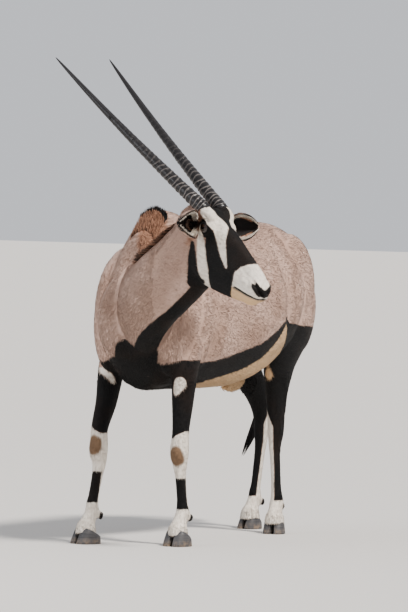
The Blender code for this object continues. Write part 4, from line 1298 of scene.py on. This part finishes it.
def ruff_hair(tree, draw):
    """The same facts for the ruff on the withers, whose rear part is black."""
    for _ in range(1700):
        x, line = draw.uniform(-0.050, 0.050), draw.uniform(-0.455, -0.362)
        hit, normal, _, _ = tree.ray_cast(Vector((x, line - 5.0 * x * x, 1.5)), -UP)
        if hit is None:
            continue
        top = float(np.clip((line + 0.408) / 0.04, 0, 1))
        lie = Vector((x * 3, -0.15, 0.75)) * top + Vector((x * 2, 0.1, 0.9)) * (1 - top)
        length = draw.uniform(0.014, 0.021) * (0.8 + 0.25 * top)
        dark = 0.010 if top > 0.55 else -0.012 + draw.normal(0, 0.006)
        yield hit, normal, lie.normalized(), length, dark


def mane(tree):
    """Short upright brown hair down the crest of the neck, and the dark ruff on the withers."""
    draw = np.random.default_rng(21)
    hairs = [*crest_hair(tree, draw), *ruff_hair(tree, draw)]
    roots, outs, lies, lengths, dark = zip(*hairs)
    roots, outs, lies = (np.array([tuple(v) for v in part]) for part in (roots, outs, lies))
    count = len(roots)
    columns = np.full((count, len(MARKS)), -LIMIT)
    columns[:, 0] = dark
    columns[:, 3] = 0.03
    widths = draw.uniform(0.0016, 0.0030, count)
    return strands("mane", roots, outs * 0.3, lies, np.array(lengths), widths, 5, 0.3, 0.10, 22, columns)


def tail_hair():
    """The black end of the tail: long hair from the dock, hanging and swung to one side."""
    draw = np.random.default_rng(31)
    path = smooth_rows(TUFT_PATH, 12)
    count, steps = 2400, 9
    start = draw.uniform(0, 1, count) ** 1.3 * 0.60
    reach_to = np.minimum(start + draw.uniform(0.34, 0.62, count), draw.uniform(0.90, 1.0, count))
    turn = draw.uniform(0, 2 * math.pi, count)
    t = np.linspace(0, 1, steps)[None]
    at = start[:, None] + (reach_to - start)[:, None] * t
    share = at * (len(path) - 1)
    line = np.stack([np.interp(share, np.arange(len(path)), path[:, i]) for i in range(3)], -1)
    out = np.column_stack([np.cos(turn), np.sin(turn), np.zeros(count)])
    core = np.interp(at, [0, 0.3, 0.7, 1.0], [0.010, 0.008, 0.004, 0.001])
    bulge = np.interp(at, [0, 0.25, 0.6, 0.9, 1.0], [0.006, 0.020, 0.021, 0.011, 0.003])
    spread = draw.uniform(0.15, 1.0, count)[:, None] ** 0.7
    radius = core + (bulge * spread) * np.clip(t * 2.2, 0, 1)
    wave = 0.004 * np.sin(t * 5 + turn[:, None] * 3) * t
    side = np.column_stack([-np.sin(turn), np.cos(turn), np.zeros(count)])
    paths = line + out[:, None, :] * radius[..., None] + side[:, None, :] * wave[..., None]
    widths = draw.uniform(0.0018, 0.0036, count)[:, None] * np.clip(1.1 - t**2, 0.15, 1)
    obj, each = hair_mesh("tail_hair", paths, side, widths, paths[:, 0])
    columns = np.full((count, len(MARKS)), -LIMIT)
    columns[:, 0] = 0.03
    marks_on(obj, columns, paths[:, 0], each)
    return obj


def ear_hair():
    """Pale hair along the ears' inner edges, and a dark fringe on their rims."""
    draw = np.random.default_rng(41)
    roots, outs, lies, lengths, columns = [], [], [], [], []
    for key in ("left", "right"):
        _, aim, side, opens = ear_frame(key)
        turn = np.array(HEAD)[:3, :3]
        aim, side, opens = (turn @ np.array(part) for part in (aim, side, opens))
        count = 1500
        u = draw.uniform(0.10, 0.97, count)
        edge = draw.choice((-1.0, 1.0), count)
        inner = draw.random(count) < 0.62
        v = edge * np.where(inner, draw.uniform(0.62, 0.93, count), draw.uniform(0.93, 1.0, count))
        base = ear_sheet(key, u, v, np.full(count, EAR_THICK))
        middle = ear_sheet(key, u, v * 0, np.full(count, 0.02))
        roots.append(base)
        outs.append(unit(middle - base))
        along = aim * np.where(inner, 0.55, 0.9)[:, None]
        outwards = opens * np.where(inner, 0.55, 0.15)[:, None]
        inwards = side * (edge * np.where(inner, 0.6, -0.2))[:, None]
        lies.append(unit(along + outwards - inwards))
        long = np.where(inner, draw.uniform(0.010, 0.020, count), draw.uniform(0.004, 0.008, count))
        lengths.append(long * (1.1 - 0.5 * u))
        marks = np.full((count, len(MARKS)), -LIMIT)
        marks[:, 1] = np.where(inner, 0.03, -0.03)
        marks[:, 0] = np.where(inner, -0.03, np.where(u > 0.55, 0.02, -0.02))
        columns.append(marks)
    parts = (roots, outs, lies, lengths, columns)
    roots, outs, lies, lengths, columns = (np.concatenate(part) for part in parts)
    widths = draw.uniform(0.0010, 0.0018, len(roots))
    return strands("ear_hair", roots, outs * 0.2, lies, lengths, widths, 4, 0.5, 0.12, 42, columns)


def horn_radius(t):
    """The horn's radius at a share of its length."""
    return HORN_RADIUS * (1 - 0.80 * t) * math.sqrt(max(1 - t**10, 0)) + 0.0006


def horn(name, side):
    """A ringed horn: uneven ridges that fade out two thirds of the way up, and a smooth tip."""
    axis = Vector((side * math.tan(HORN_SPREAD), 1, -math.tan(HORN_LEAN))).normalized()
    base = HORN_BASE * Vector((side, 1, 1)) + axis * HORN_SEAT
    bow, sides, ringed = 0.009, 40, 0.60
    draw = random.Random(50 + side)
    starts = [ringed * (k / HORN_RINGS) ** 1.18 for k in range(HORN_RINGS + 1)]
    rows = [(-0.022, 0.0, 0)]
    for k, (low, high) in enumerate(zip(starts, starts[1:])):
        strength = (0.115 - 0.075 * (k / HORN_RINGS) ** 1.5) * draw.uniform(0.85, 1.15)
        for j in range(9):
            phase = j / 9
            ridge = max(0, math.sin(math.pi * min(phase / 0.62, 1))) ** 1.6
            rows.append((low + (high - low) * phase, strength * (ridge - 0.35), k + ridge * 0.5))
    for j in range(30):
        t = ringed + (1 - ringed) * (j / 29) ** 0.9
        rows.append((t, -0.01 * math.cos(j * 1.3) * max(0, 1 - j / 12), 0))
    turn = UP.rotation_difference(axis)
    phases = [draw.uniform(0, 6.28) for _ in range(HORN_RINGS + 2)]
    ridges = []

    def build(bm):
        loops = []
        for t, swell, ring in rows:
            loop = []
            for i in range(sides):
                a = 2 * math.pi * i / sides
                uneven = 0.004 / HORN_LENGTH if swell != 0 and t < ringed else 0
                along = t + uneven * math.sin(a * 2 + phases[int(ring)])
                middle = base + axis * HORN_LENGTH * along
                middle = middle + Vector((0, 0, -bow * math.sin(math.pi * max(along, 0))))
                front = 0.75 + 0.25 * math.sin(a + phases[int(ring)] * 0.2)
                radius = horn_radius(max(t, 0)) * (1 + swell * front + 0.006 * math.sin(9 * a + 40 * t))
                loop.append(HEAD @ (middle + turn @ Vector((math.cos(a), math.sin(a), 0)) * radius))
                ridges.append(swell)
            loops.append(loop)
        skin_rings(bm, loops)

    obj = object_of(name, build)
    put_attribute(obj.data, "ridge", np.array(ridges) * 8)
    put_attribute(obj.data, "along", np.repeat([row[0] for row in rows], sides))
    obj.data.shade_smooth()
    return obj


def eye(name, side):
    """An eyeball with a raised cornea, its iris drawn by distance from the gaze."""
    centre = HEAD @ (EYE * Vector((side, 1, 1)))
    obj = sphere(name, Vector((0, 0, 0)), EYE_RADIUS)
    gaze = (HEAD.to_3x3() @ Vector((side, -0.22, 0.08))).normalized()
    points = points_of(obj.data)
    facing = points @ np.array(gaze) / EYE_RADIUS
    cap = np.clip((facing - 0.80) / 0.20, 0, 1)
    points = points * (1 + 0.030 * cap[:, None] ** 0.8)
    level = (HEAD.to_3x3() @ Vector((0, 1, 0))).normalized()
    level = np.array((level - gaze * level.dot(gaze)).normalized())
    upright = np.cross(level, np.array(gaze))
    put_attribute(obj.data, "iris", np.arccos(np.clip(facing, -1, 1)))
    oval = np.hypot(points @ level / 0.62, points @ upright) / EYE_RADIUS
    put_attribute(obj.data, "pupil", np.where(facing > 0, oval, 2.0))
    set_points(obj.data, points + np.array(centre))
    obj.data.shade_smooth()
    return obj


def foot_floor(leg):
    """A point and normal of the plane where the flesh of the foot ends."""
    forward, _ = foot_axes(leg)
    return Vector((*leg["foot"], CORONET_Z - 0.012)), (UP - forward * CORONET_SLOPE).normalized()


def claw(name, leg, kind, side):
    """One half of a cloven hoof: a hard wall that runs in under the hair of the coronet."""
    length, width = CLAW[kind]["length"], CLAW[kind]["width"]
    forward, across = foot_axes(leg)
    across = across * side
    x, y = leg["foot"]
    place, normal = foot_floor(leg)
    around = 44

    def outline(k, shrink, back):
        a = 2 * math.pi * k / around
        along, wide = -math.cos(a), width - shrink
        if a <= math.pi:
            out = wide * (0.12 + 0.88 * math.sin(a) ** 0.72)
        else:
            out = 0.0012 * math.sin(a) ** 2 + wide * 0.12 * abs(math.cos(a)) ** 6
        return along * (length / 2 - (back if along > 0 else 0)), out

    def build(bm):
        rings = []
        for h in (0.0, 0.02, 0.10, 0.25, 0.40, 0.55, 0.70, 0.85, 0.95, 1.06):
            foot = 0.0022 * max(0, 1 - h / 0.05)
            shrink = foot + 0.0048 * h**1.2 + 0.0016 * max(0, h - 0.9) / 0.1
            back = foot + 0.026 * h
            ring = []
            for k in range(around):
                u, v = outline(k, shrink, back)
                v += CLEFT + (u + length / 2) * math.sin(SPLAY)
                flat = Vector((x, y, 0)) + forward * (u + 0.004) + across * v
                low = (flat - place).dot(Vector((normal.x, normal.y, 0))) / normal.z
                top = place.z - low
                ring.append(Vector((flat.x, flat.y, max(0.0, top * h))))
            rings.append(ring)
        skin_rings(bm, rings)

    obj = object_of(name, build)
    obj.data.shade_smooth()
    obj.data.set_sharp_from_angle(angle=math.radians(50))
    return obj


def node(tree, kind, **values):
    made = tree.nodes.new(kind)
    for key, value in values.items():
        if key in made.inputs:
            made.inputs[key].default_value = value
        else:
            setattr(made, key, value)
    return made


class Graph:
    """A short way to write a material's nodes."""

    def __init__(self, name):
        self.material = bpy.data.materials.new(name)
        self.material.use_nodes = True
        self.tree = self.material.node_tree
        self.shader = self.tree.nodes["Principled BSDF"]

    def link(self, a, b):
        self.tree.links.new(a, b)

    def feed(self, socket, value):
        if hasattr(value, "is_output"):
            self.link(value, socket)
        elif value is not None:
            socket.default_value = value

    def attribute(self, name, vector=False):
        made = node(self.tree, "ShaderNodeAttribute", attribute_name=name)
        return made.outputs["Vector" if vector else "Fac"]

    def math(self, operation, a, b=None, c=None):
        made = node(self.tree, "ShaderNodeMath", operation=operation)
        for socket, value in zip(made.inputs, (a, b, c)):
            self.feed(socket, value)
        return made.outputs[0]

    def noise(self, vector, scale, detail=3.0, rough=0.55):
        made = node(self.tree, "ShaderNodeTexNoise", Scale=scale, Detail=detail, Roughness=rough)
        self.feed(made.inputs["Vector"], vector)
        return made.outputs["Fac"]

    def place(self):
        return node(self.tree, "ShaderNodeNewGeometry").outputs["Position"]

    def scaled(self, vector, scale):
        made = node(self.tree, "ShaderNodeVectorMath", operation="MULTIPLY")
        self.feed(made.inputs[0], vector)
        made.inputs[1].default_value = scale
        return made.outputs[0]

    def ramp(self, value, low, high, start=0.0, end=1.0, smooth=True):
        made = node(self.tree, "ShaderNodeMapRange")
        made.interpolation_type = "SMOOTHSTEP" if smooth else "LINEAR"
        for key, number in (("From Min", low), ("From Max", high), ("To Min", start), ("To Max", end)):
            made.inputs[key].default_value = number
        self.feed(made.inputs["Value"], value)
        return made.outputs["Result"]

    def mix(self, share, a, b, blend="MIX"):
        made = node(self.tree, "ShaderNodeMix", data_type="RGBA", blend_type=blend)
        self.feed(made.inputs[0], share)
        for socket, value in ((made.inputs[6], a), (made.inputs[7], b)):
            self.feed(socket, (*value, 1) if isinstance(value, tuple) else value)
        return made.outputs[2]

    def bump(self, height, strength, distance):
        made = node(self.tree, "ShaderNodeBump", Strength=strength, Distance=distance)
        self.feed(made.inputs["Height"], height)
        self.link(made.outputs[0], self.shader.inputs["Normal"])


FAWN = (0.430, 0.292, 0.232)
FAWN_DARK = (0.255, 0.152, 0.112)
FAWN_PALE = (0.58, 0.415, 0.345)
WHITE = (0.80, 0.74, 0.66)
WHITE_SHADE = (0.56, 0.49, 0.42)
CREAM = (0.64, 0.445, 0.270)
WARM = (0.165, 0.078, 0.045)
WARM_PALE = (0.41, 0.235, 0.160)
TAN = (0.225, 0.145, 0.090)
BLACK = (0.0065, 0.0058, 0.0060)
BLACK_BROWN = (0.017, 0.0105, 0.0080)


def coat_material(name, bare=True):
    """The coat: markings by signed depth with ragged hair edges, streaked along the lie."""
    g = Graph(name)
    hair = g.attribute("hair_place", vector=True)
    place = g.place()
    fine = g.noise(hair, 420.0, 3.0, 0.6)
    coarse = g.noise(hair, 95.0, 3.0, 0.6)
    cloud = g.noise(place, 7.0, 3.0, 0.5)
    patchy = g.noise(place, 28.0, 2.0, 0.5)
    ragged = g.math("ADD", g.math("MULTIPLY", coarse, 0.013), g.math("MULTIPLY", fine, 0.006))
    ragged = g.math("SUBTRACT", ragged, 0.0095)

    def inside(mark, soft, reach_out=1.0):
        value = g.math("ADD", g.attribute(mark), g.math("MULTIPLY", ragged, reach_out))
        return g.ramp(value, -soft, soft)

    colour = g.mix(g.ramp(cloud, 0.35, 0.68), FAWN, FAWN_PALE)
    colour = g.mix(g.math("MULTIPLY", g.ramp(patchy, 0.45, 0.75), 0.28), colour, FAWN_DARK)
    streak = g.ramp(coarse, 0.30, 0.70)
    colour = g.mix(g.math("MULTIPLY", streak, 0.08), colour, FAWN_DARK)
    warm = g.mix(g.ramp(fine, 0.35, 0.65), WARM, WARM_PALE)
    colour = g.mix(inside("warm", 0.010, 1.5), colour, warm)
    colour = g.mix(inside("cream", 0.008), colour, CREAM)
    white = g.mix(g.math("MULTIPLY", g.ramp(coarse, 0.40, 0.70), 0.55), WHITE, WHITE_SHADE)
    colour = g.mix(inside("white", 0.0025, 0.45), colour, white)
    colour = g.mix(inside("tan", 0.004, 0.5), colour, TAN)
    black = g.mix(g.ramp(cloud, 0.45, 0.70), BLACK, BLACK_BROWN)
    colour = g.mix(inside("black", 0.0028, 0.55), colour, black)
    shade = g.ramp(fine, 0.30, 0.72, 0.88, 1.10, smooth=False)
    if not bare:
        shade = g.math("MULTIPLY", shade, g.ramp(g.attribute("tip"), 0.0, 1.0, 0.94, 1.08, smooth=False))
    bright = node(g.tree, "ShaderNodeVectorMath", operation="SCALE")
    g.feed(bright.inputs[0], colour)
    g.feed(bright.inputs["Scale"], shade)
    g.link(bright.outputs[0], g.shader.inputs["Base Color"])
    g.feed(g.shader.inputs["Roughness"], g.ramp(fine, 0.3, 0.7, 0.62, 0.80, smooth=False))
    g.shader.inputs["Specular IOR Level"].default_value = 0.30
    g.shader.inputs["Sheen Weight"].default_value = 0.03
    g.shader.inputs["Sheen Roughness"].default_value = 0.45
    height = g.math("ADD", g.math("MULTIPLY", coarse, 0.6), g.math("MULTIPLY", fine, 0.4))
    g.bump(height, 0.35 if bare else 0.15, 0.0010)
    return g.material


def horn_material():
    g = Graph("horn")
    place = g.place()
    ridge = g.attribute("ridge")
    grain = g.noise(place, 260.0, 4.0, 0.65)
    broad = g.noise(place, 34.0, 3.0, 0.6)
    # Painted highlight: the ridge crests are made paler, most near the base, broken up by the grain
    glint_grain = g.math("MULTIPLY", g.math("SUBTRACT", grain, 0.5), 0.5)
    crest = g.ramp(g.math("ADD", ridge, glint_grain), 0.05, 0.62)
    colour = g.mix(broad, (0.011, 0.010, 0.011), (0.026, 0.023, 0.024))
    pale = g.ramp(g.attribute("along"), 0.05, 0.50, 0.85, 0.15)
    colour = g.mix(g.math("MULTIPLY", crest, pale), colour, (0.200, 0.175, 0.160))
    # Painted shade: the grooves between the ridges are darkened
    groove = g.ramp(ridge, -0.30, -0.02, 1.0, 0.0)
    colour = g.mix(g.math("MULTIPLY", groove, 0.6), colour, (0.010, 0.008, 0.008))
    g.link(colour, g.shader.inputs["Base Color"])
    g.feed(g.shader.inputs["Roughness"], g.ramp(grain, 0.3, 0.7, 0.26, 0.44))
    g.bump(g.math("ADD", grain, g.math("MULTIPLY", broad, 0.5)), 0.35, 0.0012)
    return g.material


def hoof_material():
    g = Graph("hoof")
    place = g.place()
    height = node(g.tree, "ShaderNodeSeparateXYZ")
    g.feed(height.inputs[0], place)
    rings = g.noise(g.scaled(place, (12.0, 12.0, 420.0)), 1.0, 2.0, 0.5)
    grain = g.noise(g.scaled(place, (420.0, 420.0, 30.0)), 1.0, 3.0, 0.6)
    colour = g.mix(g.ramp(rings, 0.35, 0.65), (0.060, 0.060, 0.065), (0.125, 0.120, 0.120))
    colour = g.mix(g.math("MULTIPLY", grain, 0.5), colour, (0.032, 0.030, 0.032))
    patches = g.ramp(g.noise(place, 60.0), 0.35, 0.65)
    dust = g.math("MULTIPLY", g.ramp(height.outputs["Z"], 0.030, 0.0), patches)
    colour = g.mix(g.math("MULTIPLY", dust, 0.7), colour, (0.30, 0.22, 0.155))
    g.link(colour, g.shader.inputs["Base Color"])
    g.feed(g.shader.inputs["Roughness"], g.ramp(grain, 0.3, 0.7, 0.42, 0.68))
    g.bump(g.math("ADD", rings, g.math("MULTIPLY", grain, 0.5)), 0.5, 0.0010)
    return g.material


def eye_material():
    g = Graph("eye")
    iris = g.attribute("iris")
    pupil = g.attribute("pupil")
    fibre = g.noise(g.place(), 900.0, 3.0, 0.6)
    brown = g.mix(fibre, (0.014, 0.006, 0.003), (0.036, 0.016, 0.008))
    colour = g.mix(g.ramp(iris, 0.72, 0.86), brown, (0.008, 0.005, 0.004))
    colour = g.mix(g.ramp(pupil, 0.36, 0.42, 1.0, 0.0), colour, (0.003, 0.003, 0.004))
    colour = g.mix(g.ramp(iris, 1.15, 1.35), colour, (0.045, 0.030, 0.024))
    g.link(colour, g.shader.inputs["Base Color"])
    g.shader.inputs["Roughness"].default_value = 0.06
    g.shader.inputs["Coat Weight"].default_value = 1.0
    g.shader.inputs["Coat Roughness"].default_value = 0.03
    return g.material


def place_shift():
    """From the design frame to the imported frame, by the middle of an eye."""
    low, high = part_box("eye_right")
    return (low + high) / 2 - HEAD @ (EYE * Vector((-1, 1, 1)))


def camera(shift):
    """The photograph's point of view, from far off with a long lens."""
    azimuth, elevation = math.radians(VIEW["azimuth"]), math.radians(VIEW["elevation"])
    level = Vector((math.sin(azimuth), -math.cos(azimuth), 0))
    back = level * math.cos(elevation) + UP * math.sin(elevation)
    data = bpy.data.cameras.new("camera")
    data.lens = VIEW["lens"]
    data.sensor_width = 36
    data.clip_end = 200
    obj = new_object("camera", data)
    obj.rotation_mode = "QUATERNION"
    roll = Quaternion((0, 0, 1), math.radians(VIEW["roll"]))
    obj.rotation_quaternion = (-back).to_track_quat("-Z", "Y") @ roll
    obj.location = VIEW_MIDDLE + shift + back * VIEW["distance"]
    bpy.context.scene.camera = obj


def light(name, kind, place, target, **values):
    """A light at a place, turned to a target."""
    data = bpy.data.lights.new(name, kind)
    for key, value in values.items():
        setattr(data, key, value)
    obj = new_object(name, data)
    obj.location = place
    obj.rotation_euler = (Vector(target) - Vector(place)).to_track_quat("-Z", "Y").to_euler()


def studio():
    """A pale floor with soft light: a high key from the right, a fill from the left, a low sky."""
    sun = dict(energy=3.6, angle=math.radians(9), color=(1.0, 0.955, 0.90))
    light("key", "SUN", (3.4, -1.0, 4.6), (0, 0, 0), **sun)
    disk = dict(shape="DISK", size=3.2, energy=70, color=(0.93, 0.96, 1.0))
    light("fill", "AREA", (-2.6, -4.8, 2.6), (0, 0, 0.8), **disk)
    world = bpy.data.worlds.new("world")
    bpy.context.scene.world = world
    world.use_nodes = True
    world.node_tree.nodes["Background"].inputs[0].default_value = (0.93, 0.95, 1.0, 1)
    world.node_tree.nodes["Background"].inputs[1].default_value = 0.62
    bpy.context.scene.view_settings.look = "AgX - Medium High Contrast"
    mesh = bpy.data.meshes.new("floor")
    mesh.from_pydata([(-60, -60, 0), (60, -60, 0), (60, 60, 0), (-60, 60, 0)], [], [(0, 1, 2, 3)])
    floor = new_object("floor", mesh)
    g = Graph("floor")
    g.shader.inputs["Base Color"].default_value = (0.62, 0.60, 0.575, 1)
    g.shader.inputs["Roughness"].default_value = 0.9
    mesh.materials.append(g.material)


# The solids that the one skin stands for
FLESH = ["head", "neck_upper", "neck_lower", "torso_front", "torso_rear", "tail_dock"]
FLESH += [f"ear_{key}" for key in EAR_ROOT]
FLESH += [f"leg_{foot}_{part}" for foot in FEET for part in ("upper", "cannon", "foot")]


def finish_piece(obj, material, nodes=()):
    """Gives a piece its material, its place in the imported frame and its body."""
    obj.data.materials.clear()
    obj.data.materials.append(material)
    obj.data.transform(Matrix.Translation(SHIFT))
    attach(obj, "root")
    if nodes:
        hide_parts(*nodes)


def coat_pieces(skin, known, material):
    """The tufts of every region, with their lengths, widths and lift by place."""
    points = points_of(skin.data)
    head_part, neck_part, leg_part, _ = weights_of(points)
    x, s, f = on_head(points).T
    local = np.column_stack([np.abs(x), s, f])
    furred = np.ones(len(points))
    furred *= np.linalg.norm(local - LIDS, axis=1) > 0.024
    furred *= capsule(local, NOSTRIL, 0.009) < 0
    furred *= capsule(local, MOUTH, 0.003) < 0
    furred *= np.linalg.norm(local - HORN_SKIN, axis=1) > 0.020
    furred *= known[:, 2] < 0.5
    furred *= points[:, 2] > 0.035
    length = np.full(len(points), 0.0130)
    length = length * (1 - 0.10 * neck_part) * (1 - 0.38 * leg_part)
    length = np.where(head_part > 0.5, 0.0070 - 0.0025 * np.clip((s - 0.25) / 0.12, 0, 1), length)
    length = np.where(points[:, 2] < 0.075, 0.0095, length)
    belly = np.clip((0.60 - points[:, 2]) / 0.05, 0, 1) * (leg_part < 0.5)
    length = length * (1 + 0.4 * belly)
    width = length * 0.19
    lift = 3.5 + 8.0 * belly + 3.0 * head_part + 1.5 * leg_part
    facts = (points, normals_of(skin.data), triangles_of(skin.data), furred)
    front = points[:, 1] < 0.06
    trunk = (head_part < 0.5) & (neck_part < 0.5) & (leg_part < 0.5)
    regions = (
        ("coat_trunk_front", trunk & front, 46000),
        ("coat_trunk_rear", trunk & ~front, 46000),
        ("coat_neck", neck_part >= 0.5, 36000),
        ("coat_head", head_part >= 0.5, 42000),
        ("coat_legs", (leg_part >= 0.5) & (neck_part < 0.5), 46000),
    )
    for seed, (name, chosen, count) in enumerate(regions):
        piece = coat(name, facts, chosen.astype(float), count, length, width, lift, 100 + seed)
        finish_piece(piece, material)


SHIFT = place_shift()
skin_mat, hair_mat = coat_material("coat_skin"), coat_material("coat_hair", bare=False)
skin, skin_known = make_skin()
tree = BVHTree.FromObject(skin, bpy.context.evaluated_depsgraph_get())
coat_pieces(skin, skin_known, hair_mat)
finish_piece(mane(tree), hair_mat)
finish_piece(ear_hair(), hair_mat)
finish_piece(tail_hair(), hair_mat, ["tail_tuft"])
finish_piece(skin, skin_mat, FLESH)
horn_mat, hoof_mat, eye_mat = horn_material(), hoof_material(), eye_material()
for key, side in (("left", 1), ("right", -1)):
    finish_piece(horn(f"ringed_horn_{key}", side), horn_mat, [f"horn_{key}"])
    finish_piece(eye(f"eyeball_{key}", side), eye_mat, [f"eye_{key}"])
for foot, leg in FEET.items():
    for which, side in (("outer", leg["side"]), ("inner", -leg["side"])):
        hoof = claw(f"hoof_{foot}_{which}", leg, foot.split("_")[0], side)
        finish_piece(hoof, hoof_mat, [f"claw_{foot}_{which}"])
studio()
camera(SHIFT)
